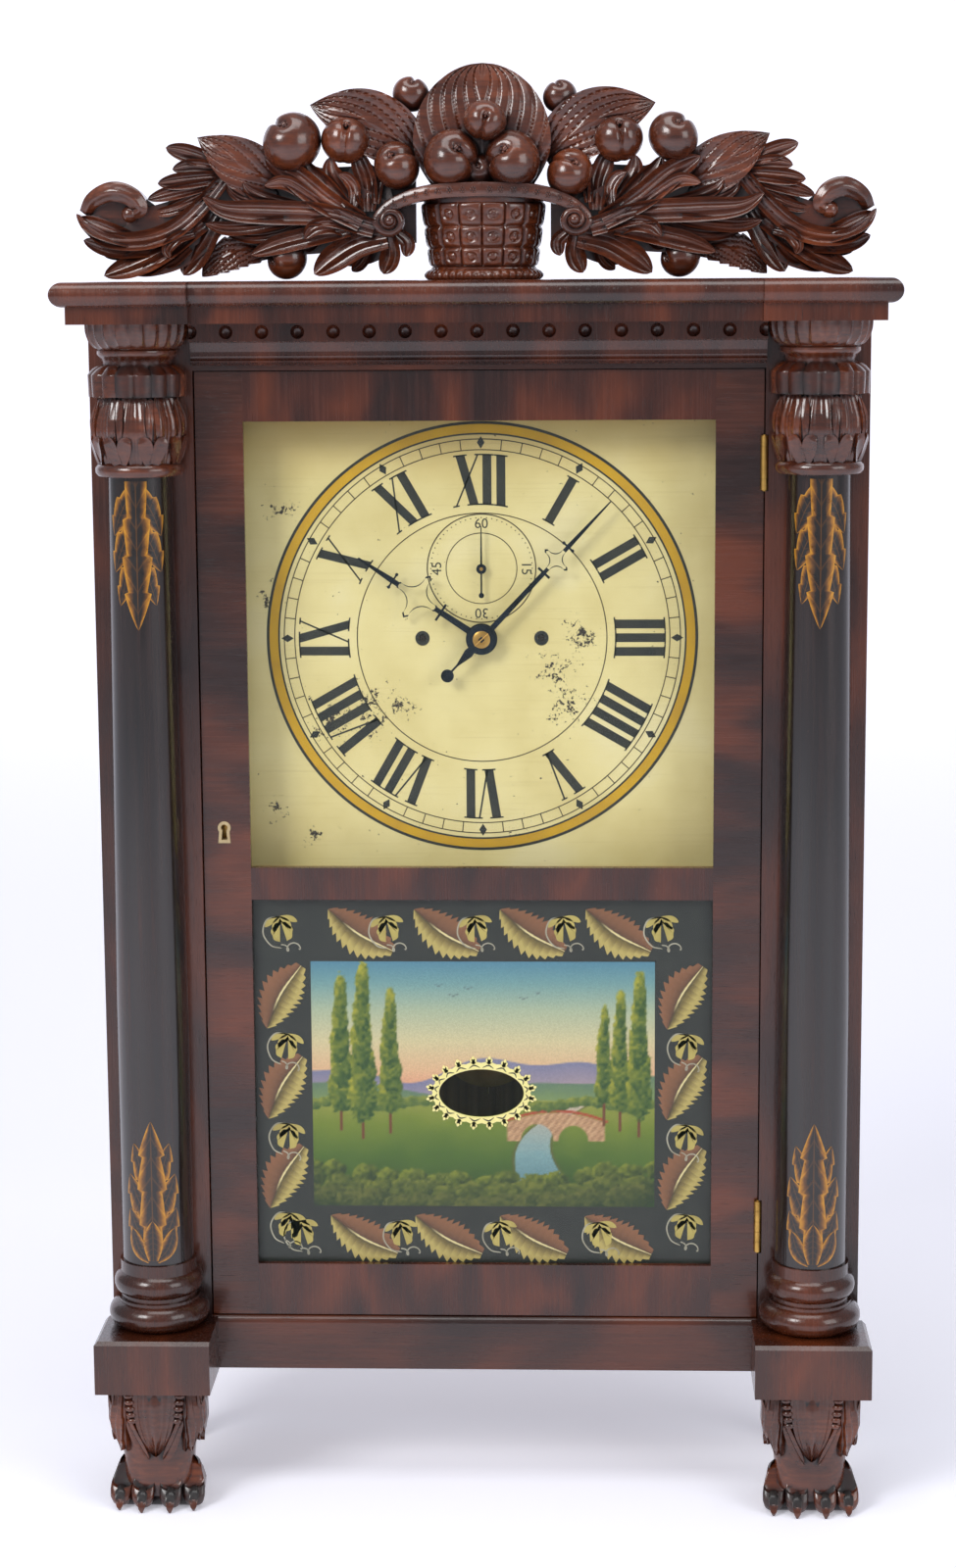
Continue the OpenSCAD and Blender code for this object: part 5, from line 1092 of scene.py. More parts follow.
# Left half of the crest. Each leaf has its width, how high its root, middle and tip stand, and its
# midrib from root to tip across and up from the middle of the cornice.
LOBES = (
    (15, 32, 27, 25, ((-58, 27), (-77, 23), (-93, 14), (-106, 4))),
    (11, 30, 26, 22, ((-57, 28), (-56, 16), (-61, 4))),
    (7, 27, 22, 17, ((-70, 22), (-75, 12), (-82, 6))),
    (8, 29, 27, 25, ((-52, 31), (-45, 24), (-46, 15))),
    (11, 31, 27, 24, ((-82, 33), (-109, 28), (-130, 23), (-147, 17))),
    (9, 27, 31, 28, ((-80, 29), (-91, 35), (-104, 34), (-112, 27))),
    (7, 26, 23, 20, ((-102, 28), (-109, 23), (-114, 20))),
    (6.5, 25, 22, 19, ((-114, 36), (-130, 30), (-146, 28), (-163, 30))),
    (8, 27, 24, 22, ((-125, 38), (-145, 35), (-163, 34), (-177, 37))),
    (7, 25, 21, 20, ((-125, 48), (-145, 51), (-157, 56), (-163, 63))),
    (7, 26, 22, 21, ((-116, 48), (-134, 52), (-146, 57), (-152, 63))),
    (13, 33, 28, 25, ((-66, 33), (-98, 42), (-134, 44), (-163, 46), (-178, 54))),
    (11, 29, 23, 22, ((-78, 44), (-87, 58), (-94, 69), (-95, 79))),
    (11, 30, 24, 22, ((-85, 47), (-98, 60), (-108, 69), (-112, 78))),
    (7, 28, 26, 27, ((-80, 47), (-79, 58), (-83, 65), (-89, 68))),
    (11, 28, 21, 22, ((-70, 44), (-71, 62), (-75, 74), (-79, 85))),
    (6, 27, 21, 21, ((-65, 49), (-64, 62), (-61, 74))),
    (14, 33, 28, 25, ((-74, 37), (-98, 51), (-118, 67), (-137, 78))),
    (8, 28, 28, 30, ((-101, 48), (-114, 58), (-125, 63), (-137, 61))),
    (14, 20, 20, 17, ((-179, 38), (-206, 20), (-225, 11), (-245, 4))),
    (7, 19, 19, 16, ((-200, 17), (-213, 9), (-221, 5))),
    (6.5, 19, 18, 15, ((-188, 22), (-198, 14), (-206, 10))),
    (15, 19, 18, 14, ((-170, 42), (-181, 23), (-193, 4))),
    (7, 20, 24, 21, ((-185, 31), (-195, 28), (-202, 21), (-201, 15))),
    (6.5, 18, 18, 15, ((-209, 20), (-227, 18), (-245, 17))),
    (9, 19, 20, 16, ((-214, 20), (-238, 21), (-258, 27))),
    (11, 20, 22, 17, ((-223, 26), (-245, 34), (-261, 41))),
    (6, 19, 20, 17, ((-182, 52), (-198, 46), (-211, 44))),
    (6.5, 19, 20, 18, ((-175, 58), (-191, 51), (-203, 47))),
    (8, 18, 20, 18, ((-171, 63), (-195, 58), (-215, 53))),
    (9, 17, 20, 19, ((-168, 67), (-188, 65), (-208, 63))),
    (8, 16, 19, 20, ((-168, 72), (-184, 74), (-198, 72))),
    (10, 15, 18, 20, ((-165, 74), (-184, 81), (-202, 86))),
)
GROUND = (
    (34, 24, 21, 15, ((-58, 36), (-88, 48), (-112, 60), (-132, 70))),
    (24, 24, 21, 16, ((-58, 34), (-100, 38), (-140, 42), (-170, 46))),
    (22, 24, 20, 15, ((-58, 34), (-90, 30), (-120, 26), (-138, 22))),
    (22, 24, 18, 14, ((-52, 34), (-62, 26), (-76, 20), (-92, 14))),
    (26, 24, 18, 15, ((-62, 38), (-68, 54), (-74, 66), (-78, 76))),
    (30, 14, 17, 14, ((-158, 66), (-182, 56), (-200, 52))),
    (34, 14, 18, 14, ((-166, 52), (-196, 36), (-226, 30), (-250, 38))),
    (30, 14, 16, 12, ((-166, 50), (-190, 28), (-214, 16), (-232, 9))),
    (22, 14, 17, 15, ((-212, 40), (-228, 47), (-244, 44), (-254, 40))),
)
STEM = ((-163, 68), (-177, 51), (-195, 35), (-216, 27), (-240, 27), (-254, 35), (-262, 44))
CURL = ((-257, 44), (-250, 53), (-237, 58), (-225, 55), (-219, 47), (-225, 42))
SCROLL_AT = (-55.7, 37.9)


def crest_side(shape, place_x):
    """The spray, broad leaves and lowest fruit of one half; place_x says where a place across comes."""
    face = flat(CREST_BACK)

    def put(path):
        return [(float(place_x(x)), cornice_z + z) for x, z in path]

    def crest_leaf(path, width, relief, **form):
        leaf(shape, put(path), width, face, relief, **form)

    for width, root, middle, tip, path in LOBES:
        crest_leaf(path, width * 1.22, lifted(root, middle, tip, 0.24, 0.3), back=2, peak=0.6, root=0.74,
                   tip=0.62, rows=28, cols=15, draw_in=0.76)
    crest_leaf(STEM, 13, lifted(17, 23, 18, 0.3, 0.3), back=2, peak=0.5, root=0.7, tip=0.6, rows=50, cols=15,
               draw_in=0.8)
    crest_leaf(CURL, 13, lifted(17, 30, 27, -0.5, 0.1), back=2, peak=0.55, root=0.6, tip=0.4, rows=40,
               cols=15, draw_in=0.8)
    ball(shape, (float(place_x(-226)), CREST_BACK - 23, cornice_z + 43.5), 5.6)
    # Ground of the spray, from which its lobes stand out
    for width, root, middle, tip, path in GROUND:
        crest_leaf(path, width, lifted(root, middle, tip, 0.0, 0.0), back=1, peak=0.5, root=0.75, tip=0.5,
                   rows=30, cols=9, draw_in=0.92)
    # Broad smooth leaves behind the spray and the fruit
    crest_leaf(((-128, 60), (-154, 76), (-182, 92.5)), 34, lifted(14, 20, 15, 0.12, 0, 3, 0.9, 1.0, 1.0),
               back=0.7, peak=0.36, root=0.85, tip=1.0, rows=90, cols=41, draw_in=0.9)
    crest_leaf(((-36, 78), (-68, 101), (-108, 112.5)), 41, lifted(16, 24, 16, 0.16, 0, 3, 1.2, 1.3, 1.0),
               back=0.4, peak=0.42, root=0.6, tip=0.95, rows=90, cols=51, draw_in=0.9)
    crest_leaf(((-134, 22), (-155, 20), (-170, 13), (-181, 3)), 24,
               lifted(10, 15, 12, 0.1, 0, 4, 1.0, 0.8, 1.2), back=1.3, peak=0.45, root=0.6, tip=0.8,
               teeth=6, tooth=0.14, rows=80, cols=31, draw_in=0.9)
    # Board that joins the leaves behind
    board = ((-40, 24), (-40, 66), (-70, 74), (-120, 72), (-160, 74), (-172, 66), (-186, 52), (-200, 40),
             (-205, 30), (-190, 27), (-168, 30), (-140, 26), (-110, 26), (-80, 24))
    shape.prism(put(board), CREST_BACK - 9, CREST_BACK)
    # Fruit that hangs below the spray
    fruit(shape, float(place_x(-124.6)), 13.6, 13, 13, lean=-0.9, up=-0.2, crease=1.0)


def rim_scroll(shape, place_x):
    """The basket's rim comes over its shoulder and rolls up in a scroll."""
    scroll_x, scroll_z = SCROLL_AT
    path = [(4, 57.5), (-16, 57), (-32, 55.5), (-45, 52), (-56, 46.8)]
    widths = [10, 10, 9.8, 9.4, 8.8]
    lifts = [42, 41, 39, 36, 34]
    turns = 1.75
    for k in range(1, 15):
        share = k / 14
        angle = math.radians(128) + 2 * math.pi * turns * share
        radius = 8.7 - 6.3 * share
        path.append((scroll_x + radius * math.cos(angle), scroll_z + radius * math.sin(angle)))
        widths.append(7.4 - 4.2 * share)
        lifts.append(33 + 5 * share)
    band(shape, [(float(place_x(x)), z) for x, z in path], widths, lifts, back=4, rows=230)
    centre_x, centre_z = float(place_x(scroll_x)), cornice_z + scroll_z
    ball(shape, (centre_x, CREST_BACK - 36, centre_z), 3.8)
    disc = 9
    shape.prism([(centre_x + disc * math.cos(t), centre_z + disc * math.sin(t)) for t in round_angles(36)],
                CREST_BACK - 29, CREST_BACK - 3)
    # Punched rosettes along the rim
    line = spline(path[:6], 60)
    apart = 6.6
    gone = 0.0
    for here, there in zip(line[:-1], line[1:]):
        gone += float(np.linalg.norm(there - here))
        if gone > apart:
            gone = 0.0
            lift = np.interp(-here[0], [-4, 16, 32, 45, 56, 64], [42, 41, 39, 36, 34, 33])
            x, z = float(place_x(here[0])), cornice_z + here[1]
            for t in round_angles(6):
                ball(shape, (x + 1.7 * math.cos(t), CREST_BACK - lift, z + 1.7 * math.sin(t)), 0.85, steps=5)
            ball(shape, (x, CREST_BACK - lift - 0.2, z), 0.8, steps=5)


def basket(shape):
    """A bulging basket whose wall is a grid of raised squares, each with a punched rosette."""
    middle_x = 4.0
    row_edges = (8.5, 20.5, 34.0, 49.5)
    columns, column_wide = 8, 12.5
    foot_ring = 7.8
    arc = np.linspace(-math.pi / 2, math.pi / 2, 161)
    across = np.modf((arc / math.pi + 0.5) * columns * 0.99999)[0]
    rings = []
    heights = [[0.0, 0.8, 2, 3.5, 5.5, 7, foot_ring], np.linspace(row_edges[0], row_edges[-1], 60), [52, 55]]
    for z in np.concatenate(heights):
        share = np.clip((z - 8) / 44, 0, 1)
        wide = 33.5 + 6 * share
        deep = 34 + 5.5 * share - 0.5
        if z < 8:
            # Beaded foot ring
            flare = 1.0 + 4.2 * math.sin(math.pi * min(1.0, z / foot_ring + 0.12)) ** 0.7
            lift = np.full_like(arc, flare) * (1 + 0.12 * np.cos(arc * 44))
        elif z > row_edges[-1]:
            lift = np.zeros_like(arc)
        else:
            row = min(2, sum(z >= edge for edge in row_edges[1:3]))
            row_high = row_edges[row + 1] - row_edges[row]
            up = (z - row_edges[row]) / row_high
            pillow = (1 - np.abs(2 * across - 1) ** 6) * (1 - abs(2 * up - 1) ** 6)
            r = np.hypot((across - 0.5) * column_wide, (up - 0.5) * row_high)
            rosette = 0.9 * np.exp(-((r - 2.6) / 0.7) ** 2) + 0.5 * np.exp(-(r / 0.6) ** 2)
            lift = 2.3 * np.clip(pillow, 0, 1) ** 0.6 - rosette
        x = middle_x + (wide + lift) * np.sin(arc)
        y = CREST_BACK - 4 - (deep - 4 + lift) * np.cos(arc)
        ring = [(a, b, cornice_z + z) for a, b in zip(x, y)]
        ring += [(middle_x + way * wide * 0.9, CREST_BACK, cornice_z + z) for way in (1, -1)]
        rings.append(ring)
    shape.skin(rings)


def read_vectors(collection, attribute, count):
    """The three numbers that each item of a collection holds under a name."""
    values = np.empty(count * 3, np.float32)
    collection.foreach_get(attribute, values)
    return values.reshape(-1, 3)


def crevices(piece, reach=16.0, rays=20):
    """Writes on each point of a piece how shut in it is, as its first mark, which the carved finish paints as
    shade.
    """
    mesh = piece.data
    count = len(mesh.vertices)
    points = read_vectors(mesh.vertices, "co", count).astype(float)
    normals = read_vectors(mesh.vertex_normals, "vector", count).astype(float)
    tree = BVHTree.FromPolygons(points.tolist(), [tuple(face.vertices) for face in mesh.polygons])
    # Rays spread evenly over a half ball, by the golden angle
    golden_angle = 2.399963
    k = np.arange(rays) + 0.5
    tilt = np.sqrt(k / rays) * 0.98
    turn = k * golden_angle
    local = np.stack([tilt * np.cos(turn), tilt * np.sin(turn), np.sqrt(1 - tilt**2)], 1)
    start_off = 0.4 * MM
    shut = np.zeros(count)
    for i in range(count):
        n = normals[i]
        helper = (1.0, 0.0, 0.0) if abs(n[0]) < 0.7 else (0.0, 1.0, 0.0)
        a = np.cross(n, helper)
        a /= max(np.linalg.norm(a), 1e-9)
        b = np.cross(n, a)
        start = Vector(points[i] + n * start_off)
        total = 0.0
        for way in local[:, :1] * a + local[:, 1:2] * b + local[:, 2:] * n:
            distance = tree.ray_cast(start, Vector(way), reach * MM)[3]
            if distance is not None:
                total += 1 - 0.6 * distance / (reach * MM)
        shut[i] = total / rays
    marks = read_vectors(mesh.attributes["mark"].data, "vector", count)
    # The plain back isn't shut in, though the corners of its faces are, so it gets little painted shade
    marks[:, 0] = np.where(points[:, 1] > points[:, 1].max() - 0.5 * MM, 0.2, shut)
    mesh.attributes["mark"].data.foreach_set("vector", marks.ravel())


# Fruit: across, up, radius, lift, lean, how far up it looks, and where its crease is
FRUITS = (
    (6.2, 101, 13.4, 34, 0.1, 0.35, -1.3), (-16.1, 77.3, 18.5, 29, 0.25, 0.45, -2.6),
    (23.8, 76.3, 18.5, 29, -0.3, 0.45, -0.4), (-51.4, 73.2, 15.3, 25, -0.3, 0.5, 2.6),
    (60.5, 68, 15.3, 25, 0.35, 0.5, 0.6), (-119.6, 88.6, 19, 20, -0.25, 0.75, 0.5),
    (127.4, 90.4, 16, 20, 0.2, 0.75, 2.5), (-84.6, 89.6, 15.3, 21, 0.1, 0.9, -1.4),
    (92.1, 89.4, 15.3, 21, 0.0, 0.9, -1.8), (-42.4, 119, 11.5, 14, 0.1, 0.8, 2.0),
    (54.2, 116.9, 10.8, 14, 0.0, 0.8, 1.0), (2, 70, 11, 24, 0, 0.2, 1.0),
)


def carve_crest():
    """The basket of fruit between its two sprays."""
    shape = Shape()
    crest_side(shape, lambda x: x)
    crest_side(shape, right_side)
    rim_scroll(shape, lambda x: x)
    rim_scroll(shape, lambda x: 8.0 - x)
    basket(shape)
    # Tall leaf behind the basket
    leaf(shape, [(4, cornice_z + 52), (4, cornice_z + 96), (4, cornice_z + 138.4)], 89, flat(CREST_BACK),
         lifted(14, 25, 15, 0.1, 0, 4, 1.3, 1.25, 1.8), back=0, peak=0.42, root=0.6, tip=0.52, rows=110,
         cols=91, draw_in=0.94)
    for place in FRUITS:
        fruit(shape, *place)
    crevices(make("crest_leaves_and_basket", shape, finish_carved, smooth=38,
                  stands_for=("crest_carving",)))


# Capital: radius and height of its core, then height, radius and gouge depth of its bowl
CAPITAL_CORE = (
    (24, 0), (27.4, 0.8), (29, 3), (29, 6), (27.4, 8.4), (25.4, 9.6), (24.6, 12), (26, 20), (27.4, 30),
    (27, 38), (25, 47), (23.6, 56), (22.8, 68), (22.3, 72), (22.6, 75), (24, 77.6), (25.6, 79),
    (26.4, 80.4), (26.2, 82.4), (25.2, 83.4), (22, 84),
)
CAPITAL_BOWL = (
    (82.8, 24.5, 0), (83.4, 26.2, 0.2), (84.6, 28.2, 1.0), (86.5, 30.2, 1.5), (89, 31.9, 1.8),
    (92, 33, 1.9), (95, 33.7, 1.9), (98, 33.9, 1.8), (99.4, 33.9, 1.6), (100, 33.9, 1.5),
)


def carve_capital(side):
    """A turned core with upright leaves, a collar of overturned leaves, a neck and a gouged bowl."""
    shape = Shape()
    x, y, low = side * column_x, column_y, capital_low[2]
    shape.turned([(r, low + z) for r, z in CAPITAL_CORE], x, y, 96)
    turn = round_angles(288)
    gouges = 24
    share = np.modf(turn / (2 * math.pi) * gouges)[0]
    scoop = 1 - (2 * share - 1) ** 2
    rings = []
    for z, r, depth in CAPITAL_BOWL:
        reach = r - depth * scoop
        rings.append(np.stack([x + reach * np.sin(turn), y - reach * np.cos(turn),
                               np.full_like(turn, low + z)], 1))
    shape.skin(rings)
    bulb_r, collar_r = 26, 25
    between = math.radians(22.5)
    bulb = round_shaft(x, y, lambda b: np.interp(b - low, [9, 20, 30, 38, 47, 56],
                                                 [24.4, 26, 27.4, 27, 25, 23.6]), bulb_r)
    collar = round_shaft(x, y, lambda b: collar_r + 0 * b, collar_r)

    def upright(u, v, half):
        swell = 1.6 + 2.0 * np.sin(math.pi * np.clip(u * 1.05, 0, 1)) + 0.10 * half * v**2
        return swell + 0.9 * (np.cos(4 * math.pi * v) - 1) / 2 - 1.1 * np.exp(-(v / 0.1) ** 2)

    def lobe(u, v, half):
        return 2.6 + 2.8 * u - 1.6 * np.clip(u - 0.8, 0, 1) * 4 + 0.2 * half * v**2

    def small(u, v, half):
        return 1.8 + 2.0 * np.sin(math.pi * u) + 0.3 * half * v**2

    def overturned(u, v, half):
        fall = -2.5 + 9.6 * np.clip(u / 0.3, 0, 1) ** 0.55 - 0.7 * u
        return fall + 0.9 * (1 - np.cos(2 * math.pi * v)) / 2 - 1.2 * v**8 - 1.5 * np.exp(-(v / 0.1) ** 2)

    def short(u, v, half):
        return -1 + 3.0 * np.clip(u / 0.35, 0, 1) ** 0.6 + 0.1 * half * v**2

    def capital_leaf(surface, places, width, relief, **form):
        leaf(shape, [(a, low + b) for a, b in places], width, surface, relief, **form)

    for k in range(8):
        at = math.radians(45 * k - 3 * side)
        wide = bulb_r * at
        capital_leaf(bulb, [(wide, z) for z in (8.5, 26, 44, 56)], 19.5, upright, back=-4, peak=0.45,
                     root=0.72, tip=0.2, rows=34, cols=25, draw_in=0.9)
        offset = bulb_r * (at + between)
        for lean in (-1, 1):
            places = [(offset + lean * out, z) for out, z in ((1.5, 9), (3.6, 16), (4.6, 22.5), (6.4, 27))]
            capital_leaf(bulb, places, 8.2, lobe, back=-3, peak=0.55, root=0.7, tip=0.4, rows=18, cols=9,
                         draw_in=0.9)
        capital_leaf(bulb, [(offset, z) for z in (22, 36, 52)], 8.0, small, back=-3, peak=0.5, root=0.5,
                     tip=0.4, rows=22, cols=9, draw_in=0.9)
        middle = collar_r * at
        capital_leaf(collar, [(middle, z) for z in (73.5, 68, 60, 52)], 22.5, overturned, back=-3, peak=0.45,
                     root=0.72, tip=0.05, rows=30, cols=25, draw_in=0.94)
        offset = middle + collar_r * between
        capital_leaf(collar, [(offset, z) for z in (71, 64, 54)], 12, short, back=-3, peak=0.5, root=0.8,
                     tip=0.1, rows=16, cols=9, draw_in=0.94)
    # The leaves end against the plane behind the capital
    for points in shape.points:
        points[:, 1] = np.minimum(points[:, 1], capital_high[1])
    name = "left" if side < 0 else "right"
    crevices(make("carved_capital_" + name, shape, finish_carved, smooth=38,
                  stands_for=("capital_" + name,)), reach=11)


# Drooping leaves of a foot: turn at start, middle and end, height of the tip, width and rise
DROOPING_LEAVES = ((78, 82, 92, 43, 40, 4.2), (112, 118, 128, 50, 38, 4.0), (150, 158, 168, 45, 40, 4.0),
                   (62, 66, 70, 40, 22, 2.8))
# Sections of a toe and a claw: distance behind the foot's front, height and radius
TOE = ((23, 24, 8.6), (16, 20.5, 8.0), (11, 17, 7.9), (8.5, 13, 8.3), (7.6, 9, 8.1), (9, 5, 6.8),
       (12, 2.4, 4.6))
CLAW = ((9, 12.5, 3.2), (4.6, 11, 3.4), (1.6, 7.4, 3.0), (0.6, 3.8, 2.2), (1.2, 1.0, 1.0))


def carve_foot(side):
    """A lion's paw under a knee of drooping leaves."""
    shape = Shape()
    x, top = side * column_x, foot_high[2]
    back, front = foot_high[1], foot_low[1]
    middle_y = (back + front) / 2 + 2

    def surface(a, b, lift):
        """a is the turn round the leg from its front, in hundredths of a radian."""
        heights = [0, 22, 34, 46, 60, 74, 86]
        wide = np.interp(b, heights, [24, 24, 24.5, 26, 28.5, 29.5, 30])
        deep = np.interp(b, heights, [16, 17, 16, 17.5, 21, 22, 21])
        s, c = np.sin(a / 100), np.cos(a / 100)
        # The power makes the round leg squarer
        squared_s = np.sign(s) * np.abs(s) ** 0.72
        squared_c = np.sign(c) * np.abs(c) ** 0.72
        return np.stack([x + (wide + lift) * squared_s, middle_y - (deep + lift) * squared_c, b], axis=-1)

    def fluted(u, v, half):
        flutes = 0.6 * np.abs(np.sin(3 * math.pi * v)) * 1.6 + 2.2 * (1 - np.abs(v)) * (1 - u)
        return 2.0 + 2.4 * u - flutes + 2.0 * np.exp(-(v / 0.12) ** 2) * u

    def scroll(u, v, half):
        return 3.0 + 1.5 * u + 0.02 * half * v**2 - 0.9 * np.exp(-(v / 0.2) ** 2)

    def drooping(rise):
        def relief(u, v, half):
            swell = rise * (0.35 + np.sin(math.pi * 0.62 * u)) + 0.035 * half * v**2
            return swell + 0.9 * (np.cos(2 * math.pi * v) - 1) / 2 - 2.4 * np.clip(u - 0.86, 0, 1) * 7 * 0.4
        return relief

    turn = np.linspace(0, 628.3, 64, endpoint=False)
    shape.skin([surface(turn, np.full_like(turn, z), np.zeros_like(turn)) for z in np.linspace(8, top, 26)])
    # Central fluted leaf that narrows to a point below
    leaf(shape, [(0, top), (0, 68), (0, 50), (0, 38)], 70, surface, fluted, back=-3, peak=0.05, root=0.9,
         tip=0.9, rows=40, cols=33, draw_in=0.95)
    for lean in (-1, 1):
        # Beaded scrolls either side of it
        for k in range(5):
            bead = surface(np.array(lean * (46 - 1.5 * k)), np.array(top - 3.5 - 4.4 * k), np.array(1.6))
            ball(shape, bead, 3.0, (1.25, 1, 0.8), 7)
        leaf(shape, [(lean * 52, top - 20), (lean * 42, 58), (lean * 26, 46), (lean * 8, 36)], 17, surface,
             scroll, back=-3, peak=0.4, root=0.5, tip=0.6, rows=26, cols=13, draw_in=0.95)
        # Drooping leaves at the corners and sides
        for start, middle, end, foot_z, width, rise in DROOPING_LEAVES:
            path = [(lean * start, top), (lean * start, top - 14), (lean * middle, (top + foot_z) / 2 - 4),
                    (lean * end, foot_z)]
            leaf(shape, path, width, surface, drooping(rise), back=-3, peak=0.55, root=0.75, tip=0.45,
                 teeth=3, tooth=0.16, rows=34, cols=15, draw_in=0.95)
    # Four toes, each an instep, a knuckle and a claw
    section = round_angles(22)
    for toe_x, reach, spread in ((-24, 4.5, -1.5), (-9.2, 0, -0.5), (9.2, 0, 0.5), (24, 4.5, 1.5)):
        instep = [(middle_y + 6, 26, 8), (middle_y - 6, 27, 9)]
        rings = []
        for share, (y, z, r) in enumerate(instep + [(front + reach + off, z, r) for off, z, r in TOE]):
            sway = x + toe_x * (0.72 + 0.28 * min(1, share / 4)) + spread * share * 0.12
            deep, high = (0.5, 0.45) if share > 3 else (0.1, 1.0)
            rings.append([(sway + r * 0.93 * math.cos(t), y + r * deep * math.sin(t),
                           max(0.3, z + r * high * math.sin(t))) for t in section])
        shape.skin(rings)
        claw = [[(x + toe_x + spread + r * math.cos(t), front + reach + off + r * 0.5 * math.sin(t),
                  max(0.1, z + r * 0.8 * math.sin(t))) for t in section] for off, z, r in CLAW]
        shape.skin(claw)
    # Sole behind the toes
    rings = []
    for z, wide, off in ((0.1, 27, 16), (2, 29, 14), (9, 29.5, 15), (16, 27.5, 19), (22, 24, 24)):
        y_front = front + off
        outline = [(-wide, back - 6), (-wide * 0.9, back - 1), (wide * 0.9, back - 1), (wide, back - 6),
                   (wide, y_front + 6), (wide * 0.8, y_front), (-wide * 0.8, y_front), (-wide, y_front + 6)]
        rings.append([(x + a, b, z) for a, b in outline])
    shape.skin(rings)
    half_wide = 33.4
    for points in shape.points:
        points[:] = np.clip(points, (x - half_wide, front, 0), (x + half_wide, back, top))
    name = "left" if side < 0 else "right"
    crevices(make("carved_paw_" + name, shape, finish_carved, smooth=44,
                  stands_for=("foot_" + name,)), reach=11)


carve_crest()
for side in (-1, 1):
    carve_capital(side)
    carve_foot(side)


# Hub and weight cords

def hand_hub():
    """The minute hand's boss with its brass collet, square hole and pin."""
    front = corners("minute_hand")[0][1]
    square, pin_r = 2.3, 0.55
    boss, collet, pin = Shape(), Shape(), Shape()
    boss.annulus(0, dial_z, 6.0, 9.8, front - 0.5, front + 0.6, steps=64)
    boss.prism([(square, dial_z), (0, dial_z + square), (-square, dial_z), (0, dial_z - square)],
               front - 1.15, front)
    collet.turned([(0, front - 1.1), (4.8, front - 1.1), (5.9, front - 0.5), (6.2, front + 0.5),
                   (0, front + 0.5)], 0, 0, steps=48)
    turned = collet.points[0]
    collet.points[0] = np.stack([turned[:, 0], turned[:, 2], dial_z + turned[:, 1]], 1)
    pin.skin([[(across, front - 1.25 + pin_r * math.sin(a), dial_z + across * 0.9 + pin_r * math.cos(a))
               for a in round_angles(8)] for across in (-4.6, 4.6)])
    make("hand_boss", boss, finish_blued, "minute_work")
    make("hand_collet", collet, finish_brass, "minute_work")
    make("hand_pin", pin, finish_brass, "minute_work")


def laid_cord(name, node):
    """A cord of three strands that pays out between its pulley and its weight."""
    low, high = corners(node)
    x, y = (low[0] + high[0]) / 2, (low[1] + high[1]) / 2
    radius = (high[0] - low[0]) / 2
    # How far a strand is off the middle, and its radius; together they reach the cord's outside
    off, strand_r = 0.48 * radius, 0.52 * radius
    twist = 8.0
    shape = Shape()
    heights = np.linspace(low[2], high[2], 241)
    for strand in range(3):
        turn = 2 * math.pi * (strand / 3 + (heights - low[2]) / twist)
        shape.skin([[(x + off * math.cos(t) + strand_r * math.cos(a),
                      y + off * math.sin(t) + strand_r * math.sin(a), z) for a in round_angles(6)]
                    for t, z in zip(turn, heights)])
    piece = make(name, shape, finish_cord, body=None, stands_for=(node,))
    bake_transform(piece)


hand_hub()
laid_cord("laid_cord_time", "cord_drop_time")
laid_cord("laid_cord_strike", "cord_drop_strike")


# Stage, light and camera

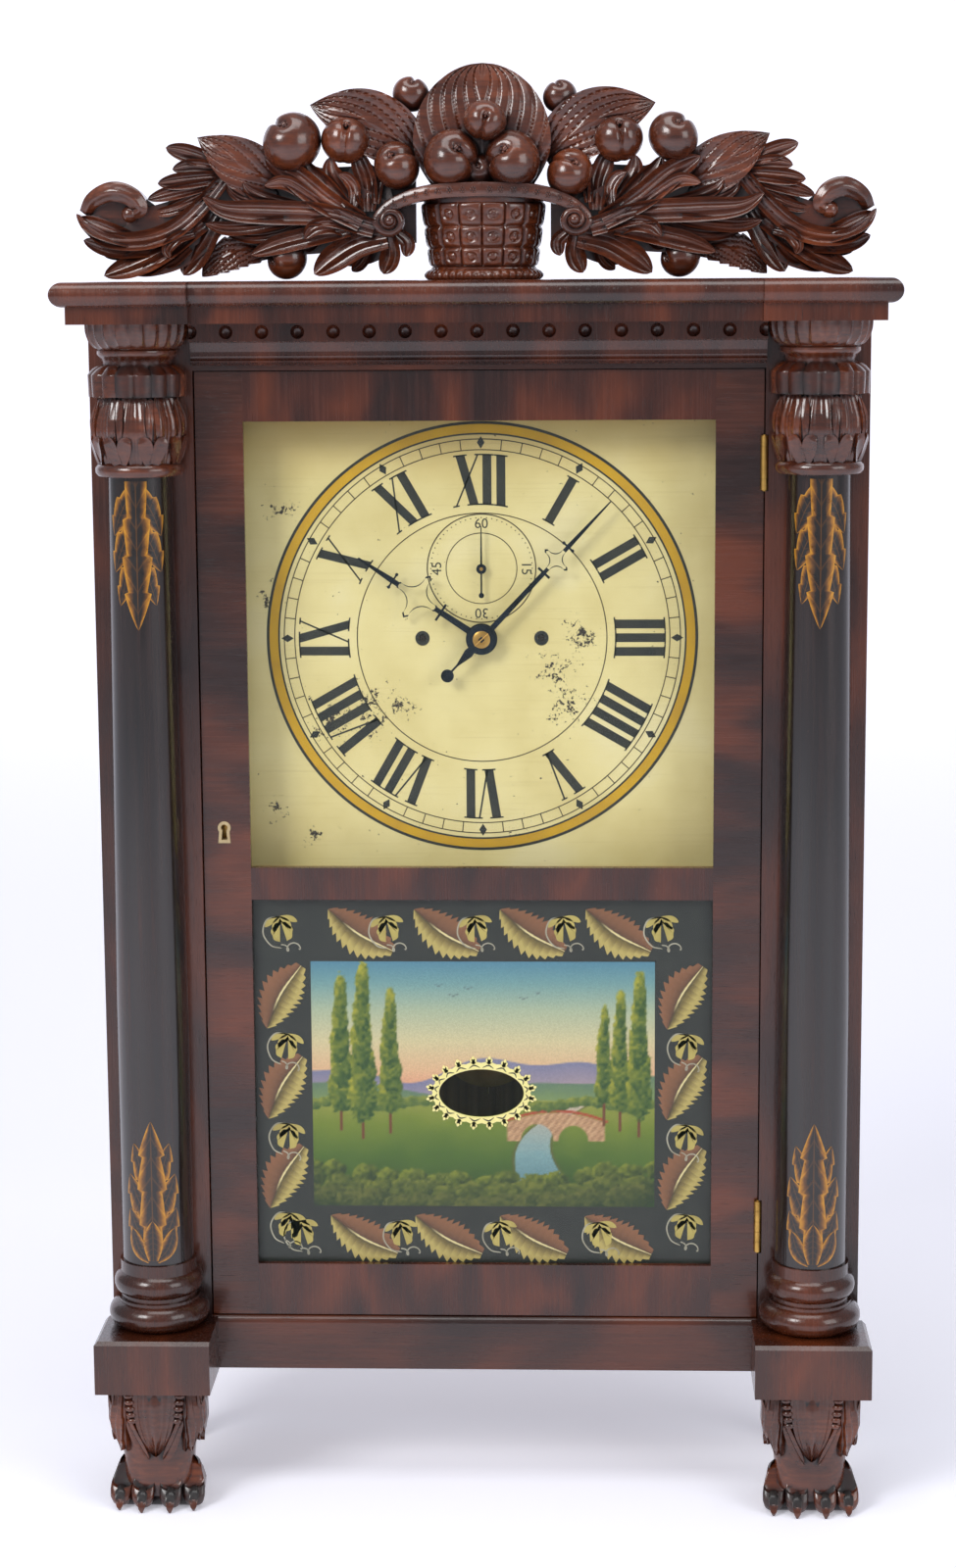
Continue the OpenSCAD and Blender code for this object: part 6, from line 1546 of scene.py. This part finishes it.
def build_stage():
    """A pale floor that sweeps up into a backdrop."""
    finish = Finish("stage_white", Roughness=0.6)
    path = finish.add("LightPath")
    seen = finish.maths("MAXIMUM", path.outputs["Is Camera Ray"], path.outputs["Is Glossy Ray"])
    seen = finish.maths("MAXIMUM", seen, path.outputs["Is Transmission Ray"])
    finish.colour(rgb(236, 236, 244))
    finish.shader.inputs["Emission Color"].default_value = rgb(240, 240, 250)
    # The far part, which the lamps hardly reach, glows more
    place = finish.add("SeparateXYZ", {"Vector": finish.place})
    glow = finish.span(place.outputs[1], 0.8, 4.6, 0.30, 0.74)
    finish.feed(finish.shader.inputs["Emission Strength"], finish.times(seen, glow))
    wide, front, back, high, bend = 8.0, -6.0, 4.4, 6.0, 1.4
    profile = [(front, 0.0)]
    for a in np.linspace(0, math.pi / 2, 16):
        profile.append((back + bend * math.sin(a), bend - bend * math.cos(a)))
    profile.append((back + bend, high))
    points = [(x, y, z) for x in (-wide, wide) for y, z in profile]
    size = len(profile)
    mesh = bpy.data.meshes.new("backdrop")
    mesh.from_pydata(points, [], [[i, i + 1, size + i + 1, size + i] for i in range(size - 1)])
    mesh.shade_smooth()
    backdrop = put_in_scene("backdrop", mesh, finish.material)


def lamp(name, place, target, size, power):
    """A white area lamp that shines at a target."""
    light = bpy.data.lights.new(name, "AREA")
    light.shape = "RECTANGLE"
    light.size, light.size_y = size
    light.energy = power
    lamp_object = bpy.data.objects.new(name, light)
    scene.collection.objects.link(lamp_object)
    lamp_object.location = place
    lamp_object.rotation_mode = "QUATERNION"
    lamp_object.rotation_quaternion = (Vector(target) - Vector(place)).to_track_quat("-Z", "Y")


def build_light():
    """A pale surround with a key lamp from the left, a fill from the right and one overhead."""
    world = bpy.data.worlds.new("studio")
    scene.world = world
    world.use_nodes = True
    surround = world.node_tree.nodes["Background"]
    surround.inputs["Color"].default_value = rgb(236, 238, 248)
    surround.inputs["Strength"].default_value = 0.45
    target = (0, 0, 0.5)
    lamp("key", (-1.9, -2.3, 2.3), target, (1.2, 1.2), 62)
    lamp("fill", (2.3, -2.0, 1.5), target, (1.6, 1.6), 26)
    lamp("top", (0.0, -0.6, 2.9), target, (2.0, 1.2), 26)


def build_camera():
    """The camera stands where the photograph was taken, as its perspective shows."""
    yaw, pitch, roll = -0.0381, 0.1645, -0.0064
    place = (0.0762, -2.072, 0.8378)
    ahead = Vector((math.sin(yaw) * math.cos(pitch), math.cos(yaw) * math.cos(pitch), -math.sin(pitch)))
    right = ahead.cross(Vector((0, 0, 1))).normalized()
    up = right.cross(ahead)
    across = math.cos(roll) * right + math.sin(roll) * up
    upward = -math.sin(roll) * right + math.cos(roll) * up
    data = bpy.data.cameras.new("camera")
    data.lens = 70.79
    data.sensor_width = 36.0
    data.sensor_fit = "AUTO"
    camera = bpy.data.objects.new("camera", data)
    scene.collection.objects.link(camera)
    rows = [(across[i], upward[i], -ahead[i], place[i]) for i in range(3)]
    camera.matrix_world = Matrix(rows + [(0, 0, 0, 1)])
    scene.camera = camera


build_stage()
build_light()
build_camera()
